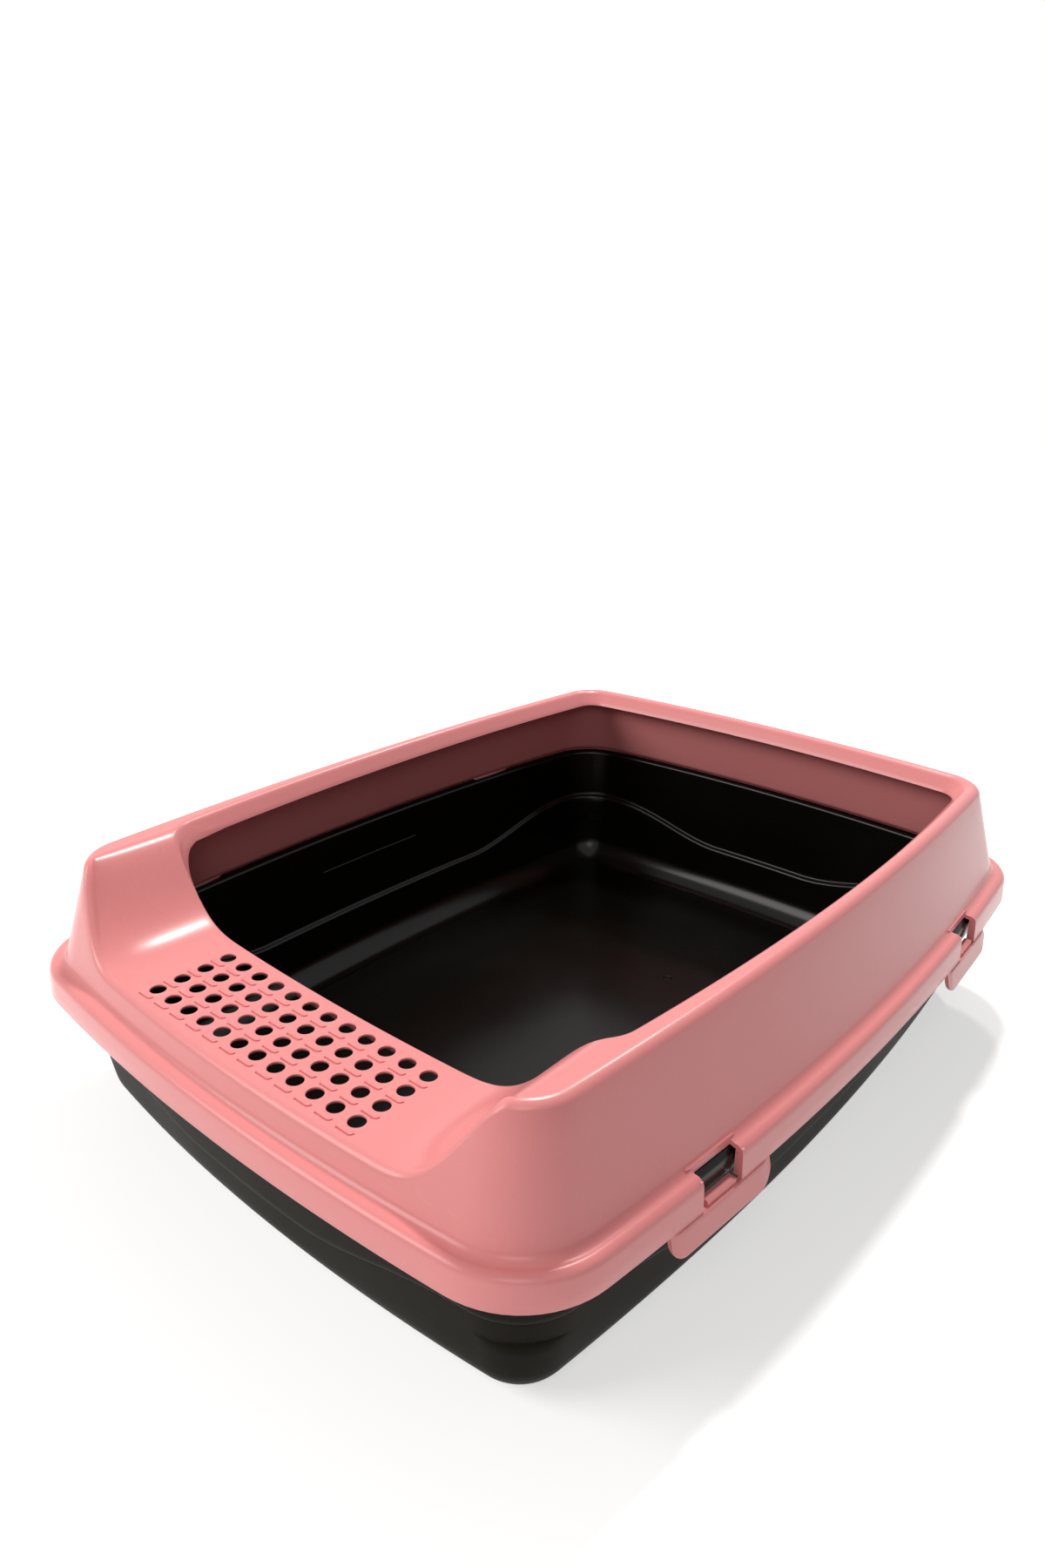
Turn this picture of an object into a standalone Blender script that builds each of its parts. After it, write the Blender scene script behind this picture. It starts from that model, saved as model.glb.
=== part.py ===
"""A rimmed litter tray: an open tray, a drop-on rim frame with a low perforated step, and four snap clips.

Metres, +Z up. The origin is on the floor under the middle of the frame, and the entry side faces -Y.
"""

import math

import bmesh
import bpy
from mathutils import Matrix, Vector

# Overall size of the rim frame, measured at the lower edge of its skirt
WIDTH = 0.400
LENGTH = 0.521
SIDE_BOW = 0.0175
END_BOW = 0.015
CORNER_RADIUS = 0.049

# Heights above the floor, each built on the one below it
SKIRT_BOTTOM_Z = 0.0815
SKIRT_HEIGHT = 0.0155
STEP_RISE = 0.013
CREST_RISE = 0.0435
SHELF_Z = SKIRT_BOTTOM_Z + SKIRT_HEIGHT
STEP_Z = SHELF_Z + STEP_RISE
CREST_Z = STEP_Z + CREST_RISE

# Section of the frame: skirt, shelf, drafted wall, crest and turned-down lip
FRAME_WALL = 0.0022
SKIRT_DRAFT = 0.0006
SKIRT_EDGE_RADIUS = 0.004
SHELF_FILLET = 0.005
FOOT_INSET = 0.0085
CREST_INSET = 0.0262
CREST_SIDE_BOW = 0.0116
CREST_END_BOW = 0.0112
CREST_CORNER_RADIUS = 0.0275
TOP_EDGE_RADIUS = 0.0047
LIP_TOP_INSET = 0.0334
LIP_EDGE_RADIUS = 0.005
LIP_DEPTH = 0.0097
LIP_LEAN_DEG = 35.0
LIP_REAR_RADIUS = 0.020
LIP_FRONT_RADIUS = 0.022
LIP_FOOT_FRONT_RADIUS = 0.018
LIP_FRONT_LEAN = 0.0010

# The low entry step at the front, and the cheeks that rise from it to the crest
STEP_DEPTH = 0.0795
STEP_INNER_BOW = 0.0190
CHEEK_FOOT_OUTER_INSET = 0.104
CHEEK_FOOT_INNER_INSET = 0.070
CHEEK_HEAD_OUTER_INSET = 0.043
CHEEK_HEAD_INNER_INSET = 0.0505
CHEEK_SKEW = 1.35
CHEEK_FADE = 0.014

# The step's drain holes: as many rows as fit between the step's front edge and the lip
HOLE_COLUMNS = 12
HOLE_PITCH = 0.01365
HOLE_DIAMETER = 0.0082
HOLE_MARGIN = 0.0085
STEP_EDGE_INSET = 0.0185
HOLE_SIDES = 12

# The tray: rolled rim, drafted wall with a wavy ledge, rounded foot
TRAY_WALL = 0.0025
SEAT_GAP = 0.0003
RIM_INSET = 0.005
RIM_BEVEL = 0.002
RIM_DROP = 0.0102
RIM_ROUND = 0.0025
RIM_WIDTH = 0.008
FOOT_OUTLINE_INSET = 0.0280
FOOT_SIDE_BOW = 0.013
FOOT_END_BOW = 0.012
FOOT_CORNER_RADIUS = 0.030
FOOT_RADIUS = 0.0245
LEDGE_STEP = 0.0025
LEDGE_SLOPE = 0.0015
LEDGE_LOW_Z = 0.040
LEDGE_RISE = 0.018
LEDGE_RUN = 0.095
LEDGE_FLAT = 0.040

# The four snap clips, one pair on each long side
CLIP_FRONT_Y = -0.139
CLIP_REAR_Y = 0.132
WINDOW_WIDTH = 0.027
WINDOW_INSET = 0.0078
LUG_WIDTH = 0.020
LUG_HEIGHT = 0.0020
LUG_STEM = 0.0020
LUG_OUTER_INSET = 0.0006
FLAP_WIDTH = 0.069
FLAP_DEPTH = 0.0130
FLAP_CORNER = 0.0090
FLAP_FLARE = 0.0025
HINGE_INSET = 0.0020
HINGE_DROP = 0.0010

# How finely the loops are divided
CORNER_STEPS = 7
SIDE_STEPS = 10
REAR_STEPS = 8
FRONT_STEPS = 28
FRONT_END_SHARE = 0.20
FRONT_END_STEPS = 10
ARC_STEPS = 3
STEP_ROWS = 6
ROW_CROWDING = 1.4
FINE_STEPS = 12
OVERRUN = 0.010

PINK = (0.80, 0.36, 0.37, 1.0)
BLACK = (0.018, 0.017, 0.014, 1.0)


def empty_the_scene():
    for old in list(bpy.data.objects):
        bpy.data.objects.remove(old, do_unlink=True)


def new_collection(name):
    made = bpy.data.collections.new(name)
    bpy.context.scene.collection.children.link(made)
    return made


def plastic(name, colour, roughness):
    material = bpy.data.materials.new(name)
    material.use_nodes = True
    shader = material.node_tree.nodes["Principled BSDF"]
    shader.inputs["Base Color"].default_value = colour
    shader.inputs["Roughness"].default_value = roughness
    shader.inputs["Metallic"].default_value = 0.0
    return material


def lerp(a, b, t):
    return a + (b - a) * t


def smoothstep(t):
    t = min(max(t, 0.0), 1.0)
    return t * t * (3.0 - 2.0 * t)


def crowded_share(number):
    """How far along the front run a station lies, with stations crowded where the cheeks rise."""
    if number > FRONT_STEPS / 2:
        return 1 - crowded_share(FRONT_STEPS - number)
    if number <= FRONT_END_STEPS:
        return FRONT_END_SHARE * number / FRONT_END_STEPS
    middle_steps = FRONT_STEPS - 2 * FRONT_END_STEPS
    return lerp(FRONT_END_SHARE, 1 - FRONT_END_SHARE, (number - FRONT_END_STEPS) / middle_steps)


class Outline:
    """A rounded rectangle whose four sides bow outwards, in plan."""

    def __init__(self, half_width, front, rear, side_bow, front_bow, rear_bow, front_radius, rear_radius):
        self.half_width = half_width
        self.front = front
        self.rear = rear
        self.side_bow = side_bow
        self.front_bow = front_bow
        self.rear_bow = rear_bow
        self.front_radius = front_radius
        self.rear_radius = rear_radius

    def inset(self, distance):
        """The same outline drawn in by a distance, with its corner radii smaller by as much."""
        return Outline(
            self.half_width - distance,
            self.front - distance,
            self.rear - distance,
            self.side_bow,
            self.front_bow,
            self.rear_bow,
            max(self.front_radius - distance, FRAME_WALL),
            max(self.rear_radius - distance, FRAME_WALL),
        )

    def towards(self, other, t):
        """An outline part of the way from this one to another."""
        mixed = {key: lerp(value, getattr(other, key), t) for key, value in vars(self).items()}
        return Outline(**mixed)

    def corner(self, side, end):
        """Centre and tangent angles of one corner: side is -1 left or 1 right, end is -1 front or 1 rear."""
        reach, bow, radius = (
            (self.front, self.front_bow, self.front_radius)
            if end < 0
            else (self.rear, self.rear_bow, self.rear_radius)
        )
        middle = (self.rear - self.front) / 2
        half_length = (self.rear + self.front) / 2
        side_radius = (half_length**2 + self.side_bow**2) / (2 * self.side_bow)
        end_radius = (self.half_width**2 + bow**2) / (2 * bow)
        side_centre = Vector((side * (self.half_width - side_radius), middle))
        end_centre = Vector((0, end * (reach - end_radius)))
        centre = circles_meet(side_centre, side_radius - radius, end_centre, end_radius - radius, side, end)
        return centre, radius, angle_of(centre - side_centre), angle_of(centre - end_centre)

    def points(self, fine=1):
        """The stations round the outline, from the front right corner counterclockwise, or finer points."""
        corners = [self.corner(1, -1), self.corner(1, 1), self.corner(-1, 1), self.corner(-1, -1)]
        steps = [SIDE_STEPS * fine, REAR_STEPS * fine, SIDE_STEPS * fine, FRONT_STEPS * fine]
        found = []
        for number, (centre, radius, side_angle, end_angle) in enumerate(corners):
            start, stop = (end_angle, side_angle) if number % 2 == 0 else (side_angle, end_angle)
            arc = arc_points(centre, radius, start, stop, CORNER_STEPS * fine)
            found.extend(arc)
            following = corners[(number + 1) % 4]
            landing = following[2] if number % 2 == 0 else following[3]
            target = on_circle(following[0], following[1], landing)
            found.extend(bowed_run(arc[-1], target, stop, landing, steps[number], number == 3))
        return found


def circles_meet(first, first_radius, second, second_radius, side, end):
    """The crossing of two circles that lies furthest towards the named corner."""
    apart = second - first
    distance = apart.length
    along = (distance**2 + first_radius**2 - second_radius**2) / (2 * distance)
    across = math.sqrt(max(first_radius**2 - along**2, 0.0))
    direction = apart / distance
    normal = Vector((-direction.y, direction.x))
    choices = [first + direction * along + normal * across * sign for sign in (1, -1)]
    return max(choices, key=lambda p: p.x * side + p.y * end)


def angle_of(vector):
    return math.atan2(vector.y, vector.x)


def on_circle(centre, radius, angle):
    return centre + Vector((math.cos(angle), math.sin(angle))) * radius


def turn_between(start, stop):
    return (stop - start + math.pi) % (2 * math.pi) - math.pi


def arc_points(centre, radius, start, stop, steps):
    turn = turn_between(start, stop)
    return [on_circle(centre, radius, start + turn * k / steps) for k in range(steps + 1)]


def bowed_run(start, stop, start_angle, stop_angle, steps, crowd_ends):
    """The points between two corners, on the arc whose normals turn from one angle to the other."""
    turn = turn_between(start_angle, stop_angle)
    radius = (stop - start).length / (2 * math.sin(abs(turn) / 2))
    centre = start - Vector((math.cos(start_angle), math.sin(start_angle))) * radius
    shares = [k / steps for k in range(1, steps)]
    if crowd_ends:
        shares = [crowded_share(share * FRONT_STEPS) for share in shares]
    return [on_circle(centre, radius, start_angle + turn * share) for share in shares]


SKIRT = Outline(WIDTH / 2, LENGTH / 2, LENGTH / 2, SIDE_BOW, END_BOW, END_BOW, CORNER_RADIUS, CORNER_RADIUS)
CREST = Outline(
    WIDTH / 2 - CREST_INSET,
    LENGTH / 2 - CREST_INSET,
    LENGTH / 2 - CREST_INSET,
    CREST_SIDE_BOW,
    CREST_END_BOW,
    CREST_END_BOW,
    CREST_CORNER_RADIUS,
    CREST_CORNER_RADIUS,
)
OPENING = Outline(
    WIDTH / 2 - LIP_TOP_INSET,
    LENGTH / 2 - STEP_DEPTH,
    LENGTH / 2 - LIP_TOP_INSET,
    CREST_SIDE_BOW,
    STEP_INNER_BOW,
    CREST_END_BOW,
    LIP_FRONT_RADIUS,
    LIP_REAR_RADIUS,
)
LIP_LEAN = math.radians(LIP_LEAN_DEG)
LIP_TURN = math.pi / 2 - LIP_LEAN
LIP_TANGENT = LIP_EDGE_RADIUS * math.tan(LIP_TURN / 2)
LIP_REACH = LIP_DEPTH * math.tan(LIP_LEAN)
LIP_FOOT = Outline(
    WIDTH / 2 - LIP_TOP_INSET - LIP_REACH,
    LENGTH / 2 - STEP_DEPTH - LIP_FRONT_LEAN,
    LENGTH / 2 - LIP_TOP_INSET - LIP_REACH,
    CREST_SIDE_BOW,
    STEP_INNER_BOW,
    CREST_END_BOW,
    LIP_FOOT_FRONT_RADIUS,
    LIP_REAR_RADIUS - LIP_REACH,
)
WALL_FOOT = SKIRT.inset(FOOT_INSET)
TRAY_FOOT = Outline(
    WIDTH / 2 - FOOT_OUTLINE_INSET,
    LENGTH / 2 - FOOT_OUTLINE_INSET,
    LENGTH / 2 - FOOT_OUTLINE_INSET,
    FOOT_SIDE_BOW,
    FOOT_END_BOW,
    FOOT_END_BOW,
    FOOT_CORNER_RADIUS,
    FOOT_CORNER_RADIUS,
)
CHEEK_FOOT_OUTER = WIDTH / 2 - CHEEK_FOOT_OUTER_INSET
CHEEK_FOOT_INNER = WIDTH / 2 - CHEEK_FOOT_INNER_INSET
CHEEK_HEAD_OUTER = WIDTH / 2 - CHEEK_HEAD_OUTER_INSET
CHEEK_HEAD_INNER = WIDTH / 2 - CHEEK_HEAD_INNER_INSET
WALL_SLOPE = (CREST_INSET - FOOT_INSET) / (CREST_Z - SHELF_Z)
WALL_ANGLE = math.atan(WALL_SLOPE)


def top_height(x, y, behind=0.0):
    """Height of the frame's top: step, cheeks and crest, at a distance behind the wall's top edge."""
    if y > 0:
        return CREST_Z
    settled = 1 - math.exp(-behind / CHEEK_FADE)
    foot = lerp(CHEEK_FOOT_OUTER, CHEEK_FOOT_INNER, settled)
    head = lerp(CHEEK_HEAD_OUTER, CHEEK_HEAD_INNER, settled)
    climb = min(max((abs(x) - foot) / (head - foot), 0.0), 1.0)
    return lerp(STEP_Z, CREST_Z, smoothstep(climb ** lerp(CHEEK_SKEW, 1.0, settled)))


def wall_points(z):
    """The ring of points where the drafted wall stands at a height."""
    return WALL_FOOT.towards(CREST, (z - SHELF_Z) / (CREST_Z - SHELF_Z)).points()


def ring(outline, z):
    return [Vector((p.x, p.y, z)) for p in outline.points()]


def skirt_rings():
    """The skirt, its rounded top edge, the shelf and the fillet at the wall's foot."""
    rings = [ring(SKIRT, SKIRT_BOTTOM_Z)]
    edge = SKIRT_EDGE_RADIUS
    for k in range(ARC_STEPS + 1):
        angle = math.pi / 2 * k / ARC_STEPS
        inset = SKIRT_DRAFT + edge * (1 - math.cos(angle))
        rings.append(ring(SKIRT.inset(inset), SHELF_Z - edge * (1 - math.sin(angle))))
    middle = FOOT_INSET + WALL_SLOPE * SHELF_FILLET - SHELF_FILLET / math.cos(WALL_ANGLE)
    for k in range(ARC_STEPS + 1):
        angle = lerp(-math.pi / 2, -WALL_ANGLE, k / ARC_STEPS)
        inset = middle + SHELF_FILLET * math.cos(angle)
        rings.append(ring(SKIRT.inset(inset), SHELF_Z + SHELF_FILLET * (1 + math.sin(angle))))
    return rings


def wall_heights():
    """The height of the frame's top at each station, read where the wall itself meets it."""
    heights = [top_height(p.x, p.y) for p in wall_points(STEP_Z)]
    levels = 8
    for _ in range(3):
        table = [wall_points(lerp(STEP_Z, CREST_Z, k / levels)) for k in range(levels + 1)]
        found = []
        for number, height in enumerate(heights):
            place = (height - STEP_Z) / (CREST_Z - STEP_Z) * levels
            low = min(int(place), levels - 1)
            p = table[low][number].lerp(table[low + 1][number], place - low)
            found.append(top_height(p.x, p.y))
        heights = found
    return heights


def edge_rings(heights):
    """The wall's rounded top edge, which follows the step, the cheeks and the crest."""
    radius = TOP_EDGE_RADIUS
    rings = []
    for k in range(ARC_STEPS + 1):
        angle = lerp(WALL_ANGLE, math.pi / 2, k / ARC_STEPS)
        inward = radius / math.cos(WALL_ANGLE) - radius * math.cos(angle)
        made = []
        for number, height in enumerate(heights):
            base = height - radius
            share = (base - SHELF_Z) / (CREST_Z - SHELF_Z)
            p = stations_at(share, inward)[number]
            made.append(Vector((p.x, p.y, base + radius * math.sin(angle))))
        rings.append(made)
    return rings


STATION_CACHE = {}


def stations_at(share, inward):
    """The wall's outline at a share of its height, drawn in by a distance, and kept for the next call."""
    key = (round(share, 9), round(inward, 9))
    if key not in STATION_CACHE:
        STATION_CACHE[key] = WALL_FOOT.towards(CREST, share).inset(inward).points()
    return STATION_CACHE[key]


def running_lengths(points):
    """The distance along a line of points to each of them."""
    lengths = [0.0]
    for near, far in zip(points, points[1:]):
        lengths.append(lengths[-1] + (far.xy - near.xy).length)
    return lengths


def length_to_width(points, lengths, width):
    """The distance along a line of points to where it first reaches a width."""
    for p, length in zip(points, lengths):
        if p.x >= width:
            return length
    return lengths[-1]


def at_value(points, values, wanted):
    """The place on a line of points where a rising value reaches the wanted one, or the nearer end."""
    if wanted <= values[0]:
        return points[0]
    for k in range(len(points) - 1):
        if values[k] <= wanted <= values[k + 1]:
            share = (wanted - values[k]) / max(values[k + 1] - values[k], 1e-9)
            return points[k].lerp(points[k + 1], share)
    return points[-1]


def facing_points(edge, outline):
    """The inner outline's stations, moved so that each faces its outer one across the cheek's face."""
    inner = outline.points()
    count = len(inner)
    middle = count - FRONT_STEPS // 2
    last = CORNER_STEPS + SIDE_STEPS // 2
    walk = list(range(middle, count)) + list(range(last + 1))
    dense = outline.points(FINE_STEPS)
    corner_point = FINE_STEPS * CORNER_STEPS
    line = dense[-FINE_STEPS * FRONT_STEPS // 2:]
    line += dense[:corner_point + 1 + FINE_STEPS * (last - CORNER_STEPS)]
    widths = [p.x for p in line]
    inner_lengths = running_lengths(line)
    outer_line = [edge[k] for k in walk]
    outer_lengths = running_lengths(outer_line)
    head_length = length_to_width(line, inner_lengths, CHEEK_HEAD_INNER)
    passed = length_to_width(outer_line, outer_lengths, CHEEK_HEAD_OUTER)
    for k, outer, length in zip(walk, outer_line, outer_lengths):
        if outer.x <= CHEEK_FOOT_OUTER:
            found = at_value(line, widths, outer.x * CHEEK_FOOT_INNER / CHEEK_FOOT_OUTER)
        elif outer.x <= CHEEK_HEAD_OUTER:
            climb = (outer.x - CHEEK_FOOT_OUTER) / (CHEEK_HEAD_OUTER - CHEEK_FOOT_OUTER)
            found = at_value(line, widths, lerp(CHEEK_FOOT_INNER, CHEEK_HEAD_INNER, climb))
        else:
            share = (length - passed) / (outer_lengths[-1] - passed)
            found = at_value(line, inner_lengths, lerp(head_length, inner_lengths[-1], share))
        inner[k] = found.copy()
        inner[(2 * middle - k) % count] = Vector((-found.x, found.y))
    return inner


def top_rings(edge):
    """The step's and the crest's top surface, from the rounded edge to the lip's rounded edge."""
    inner = facing_points(edge, OPENING.inset(-LIP_TANGENT))
    rings = []
    for k in range(1, STEP_ROWS + 1):
        share = (k / STEP_ROWS) ** ROW_CROWDING
        made = []
        for outer_point, inner_point in zip(edge, inner):
            x = lerp(outer_point.x, inner_point.x, share)
            y = lerp(outer_point.y, inner_point.y, share)
            behind = share * (inner_point - outer_point.xy).length
            made.append(Vector((x, y, top_height(x, y, behind))))
        rings.append(made)
    return rings


def lip_rings(edge, top_ring):
    """The rounded inner edge and the leaning lip below it, hung from the top surface's last ring."""
    start = OPENING.inset(-LIP_TANGENT)
    steps = []
    for k in range(1, ARC_STEPS + 1):
        angle = LIP_TURN * k / ARC_STEPS
        steps.append((LIP_EDGE_RADIUS * math.sin(angle), LIP_EDGE_RADIUS * (1 - math.cos(angle))))
    steps.append((LIP_TANGENT + LIP_REACH, LIP_DEPTH))
    rings = []
    for inward, drop in steps:
        outline = start.towards(LIP_FOOT, inward / (LIP_TANGENT + LIP_REACH))
        plan = facing_points(edge, outline)
        rings.append([Vector((p.x, p.y, above.z - drop)) for p, above in zip(plan, top_ring)])
    return rings


def loft(rings, name, close_last):
    """A skin of four-sided faces through rings of equal counts, with the last ring filled if asked."""
    mesh = bpy.data.meshes.new(name)
    work = bmesh.new()
    rows = [[work.verts.new(p) for p in points] for points in rings]
    count = len(rings[0])
    for low, high in zip(rows, rows[1:]):
        for k in range(count):
            following = (k + 1) % count
            work.faces.new((low[k], low[following], high[following], high[k]))
    if close_last:
        work.faces.new(rows[-1])
    work.to_mesh(mesh)
    work.free()
    return mesh


def add_object(name, mesh, collection, material):
    made = bpy.data.objects.new(name, mesh)
    mesh.materials.append(material)
    collection.objects.link(made)
    return made


def thicken(target, wall):
    shell = target.modifiers.new("wall", "SOLIDIFY")
    shell.thickness = wall
    shell.offset = -1.0
    shell.use_even_offset = True


def cut(target, cutter, name):
    made = target.modifiers.new(name, "BOOLEAN")
    made.operation = "DIFFERENCE"
    made.object = cutter
    made.solver = "EXACT"


def hide_as_cutter(cutter):
    cutter.hide_render = True
    cutter.display_type = "WIRE"


def hole_cutter(collection):
    """All the step's drain holes as one group of pins."""
    work = bmesh.new()
    rows = 1 + int((STEP_DEPTH - STEP_EDGE_INSET - 2 * HOLE_MARGIN) / HOLE_PITCH)
    middle = (STEP_EDGE_INSET + STEP_DEPTH) / 2 - LENGTH / 2
    for row in range(rows):
        for column in range(HOLE_COLUMNS):
            x = (column - (HOLE_COLUMNS - 1) / 2) * HOLE_PITCH
            y = middle + (row - (rows - 1) / 2) * HOLE_PITCH
            place = Matrix.Translation((x, y, STEP_Z))
            bmesh.ops.create_cone(
                work,
                cap_ends=True,
                segments=HOLE_SIDES,
                radius1=HOLE_DIAMETER / 2,
                radius2=HOLE_DIAMETER / 2,
                depth=2 * OVERRUN,
                matrix=place,
            )
    mesh = bpy.data.meshes.new("step_hole_pins")
    work.to_mesh(mesh)
    work.free()
    pins = bpy.data.objects.new("step_hole_pins", mesh)
    collection.objects.link(pins)
    hide_as_cutter(pins)
    return pins


def clip_place(side, y):
    """Where a clip sits: the point on the skirt's outline, and the turn that faces a clip out of it."""
    half_length = LENGTH / 2
    radius = (half_length**2 + SIDE_BOW**2) / (2 * SIDE_BOW)
    lean = math.asin(y / radius)
    x = WIDTH / 2 - radius * (1 - math.cos(lean))
    turn = lean if side > 0 else math.pi - lean
    return Matrix.Translation((side * x, y, SKIRT_BOTTOM_Z)) @ Matrix.Rotation(turn, 4, "Z")


def window_cutter(name, place, collection):
    """The window through shelf and skirt that shows the tray's rim and gives the lug its room."""
    work = bmesh.new()
    low = -OVERRUN
    high = SHELF_Z + SHELF_FILLET / 2 - SKIRT_BOTTOM_Z
    size = Matrix.Diagonal((WINDOW_INSET + OVERRUN, WINDOW_WIDTH, high - low, 1))
    middle = Matrix.Translation(((OVERRUN - WINDOW_INSET) / 2, 0, (high + low) / 2))
    bmesh.ops.create_cube(work, size=1.0, matrix=place @ middle @ size)
    mesh = bpy.data.meshes.new(name)
    work.to_mesh(mesh)
    work.free()
    window = bpy.data.objects.new(name, mesh)
    collection.objects.link(window)
    hide_as_cutter(window)
    return window


def rim_frame(parts, cutters, pink, places):
    heights = wall_heights()
    edges = edge_rings(heights)
    top = top_rings(edges[-1])
    rings = skirt_rings() + edges + top + lip_rings(edges[-1], top[-1])
    frame = add_object("rim_frame", loft(rings, "rim_frame", False), parts, pink)
    thicken(frame, FRAME_WALL)
    cut(frame, hole_cutter(cutters), "drain_holes")
    for name, place in places.items():
        cut(frame, window_cutter(name + "_window", place, cutters), name + "_window")
    frame.data.shade_smooth()
    return frame


def ledge_height(p):
    """The wavy ledge is low along the middle of each side and rises to the corners."""
    from_side = WIDTH / 2 - FOOT_OUTLINE_INSET - abs(p.x)
    from_end = LENGTH / 2 - FOOT_OUTLINE_INSET - abs(p.y)
    from_corner = max(from_side, 0.0) + max(from_end, 0.0)
    return LEDGE_LOW_Z + LEDGE_RISE * smoothstep(1 - (from_corner - LEDGE_FLAT) / LEDGE_RUN)


def tray_rings():
    """The tray's upper skin: rolled rim, upper wall, wavy ledge, lower wall, rounded foot and floor."""
    top = SHELF_Z - FRAME_WALL - SEAT_GAP
    rim = SKIRT.inset(RIM_INSET)
    wall_top = SKIRT.inset(RIM_INSET + RIM_WIDTH)
    rings = [
        ring(rim, top - RIM_DROP),
        ring(rim, top - RIM_BEVEL),
        ring(rim.inset(RIM_BEVEL), top),
    ]
    for k in range(ARC_STEPS + 1):
        angle = math.pi / 2 * k / ARC_STEPS
        outline = wall_top.inset(RIM_ROUND * (math.sin(angle) - 1))
        rings.append(ring(outline, top - RIM_ROUND * (1 - math.cos(angle))))
    rings += ledge_rings(wall_top, top - RIM_ROUND)
    rings += foot_rings(wall_top, top - RIM_ROUND)
    return rings


def tray_wall(wall_top, top_z, z):
    """The outline of the tray's inner wall at a height, on its straight draft from top to floor."""
    foot = TRAY_FOOT.inset(TRAY_WALL)
    return wall_top.inset(LEDGE_STEP).towards(foot, (top_z - z) / (top_z - TRAY_WALL))


def ledge_rings(wall_top, top_z):
    """The wavy ledge: the upper wall stands out from the lower wall by the ledge's step."""
    heights = [ledge_height(p) for p in tray_wall(wall_top, top_z, LEDGE_LOW_Z).points()]
    upper, lower = [], []
    for number, z in enumerate(heights):
        p = tray_wall(wall_top, top_z, z).inset(-LEDGE_STEP).points()[number]
        upper.append(Vector((p.x, p.y, z)))
        q = tray_wall(wall_top, top_z, z - LEDGE_SLOPE).points()[number]
        lower.append(Vector((q.x, q.y, z - LEDGE_SLOPE)))
    return [upper, lower]


def foot_rings(wall_top, top_z):
    """The round between the wall and the floor, tangent to both."""
    draft = FOOT_OUTLINE_INSET + TRAY_WALL - RIM_INSET - RIM_WIDTH - LEDGE_STEP
    lean = math.atan(draft / (top_z - TRAY_WALL))
    radius = FOOT_RADIUS - TRAY_WALL
    start = tray_wall(wall_top, top_z, TRAY_WALL + radius)
    rings = []
    for k in range(ARC_STEPS + 2):
        angle = lerp(lean, math.pi / 2, k / (ARC_STEPS + 1))
        outline = start.inset(radius / math.cos(lean) - radius * math.cos(angle))
        rings.append(ring(outline, TRAY_WALL + radius * (1 - math.sin(angle))))
    return rings


def tray(parts, black):
    made = add_object("tray", loft(tray_rings(), "tray", True), parts, black)
    thicken(made, TRAY_WALL)
    made.data.shade_smooth()
    return made


def flap_outline():
    """The flap's face seen from outside: straight along the skirt's edge, round at its two lower corners."""
    half = FLAP_WIDTH / 2
    low = -FLAP_DEPTH
    top = -SEAT_GAP
    points = [Vector((half, top)), Vector((-half, top))]
    for side in (-1, 1):
        centre = Vector((side * (half - FLAP_CORNER), low + FLAP_CORNER))
        start, stop = (math.pi, 1.5 * math.pi) if side < 0 else (1.5 * math.pi, 2 * math.pi)
        points += arc_points(centre, FLAP_CORNER, start, stop, 2 * ARC_STEPS)
    return points


def clip_mesh(name):
    """A clip in its own frame: x points out of the skirt, y runs along it, z is up from the skirt's edge."""
    work = bmesh.new()
    outer, inner = [], []
    for p in flap_outline():
        out = FLAP_FLARE * (-p.y - SEAT_GAP) / FLAP_DEPTH
        outer.append(work.verts.new((out, p.x, p.y)))
        inner.append(work.verts.new((out - FRAME_WALL, p.x, p.y)))
    work.faces.new(outer)
    work.faces.new(list(reversed(inner)))
    count = len(outer)
    for k in range(count):
        following = (k + 1) % count
        work.faces.new((outer[k], inner[k], inner[following], outer[following]))
    bmesh.ops.recalc_face_normals(work, faces=work.faces)
    mesh = bpy.data.meshes.new(name)
    work.to_mesh(mesh)
    work.free()
    return mesh


def lug_mesh(name):
    """The hook that stands in the window: a stem on the flap and a nose that points at the tray's rim."""
    rim_bottom = SHELF_Z - FRAME_WALL - SEAT_GAP - RIM_DROP
    top = rim_bottom - SEAT_GAP - SKIRT_BOTTOM_Z
    tip = -(RIM_INSET - SEAT_GAP)
    outside = -LUG_OUTER_INSET
    stem = outside - LUG_STEM
    root = -SEAT_GAP - FRAME_WALL / 2
    nose = top - LUG_HEIGHT
    section = [(outside, root), (outside, top), (tip, top), (tip, nose), (stem, nose), (stem, root)]
    work = bmesh.new()
    near = [work.verts.new((x, -LUG_WIDTH / 2, z)) for x, z in section]
    face = work.faces.new(near)
    swept = bmesh.ops.extrude_face_region(work, geom=[face])
    far = [v for v in swept["geom"] if isinstance(v, bmesh.types.BMVert)]
    bmesh.ops.translate(work, verts=far, vec=(0, LUG_WIDTH, 0))
    bmesh.ops.recalc_face_normals(work, faces=work.faces)
    mesh = bpy.data.meshes.new(name)
    work.to_mesh(mesh)
    work.free()
    return mesh


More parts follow.
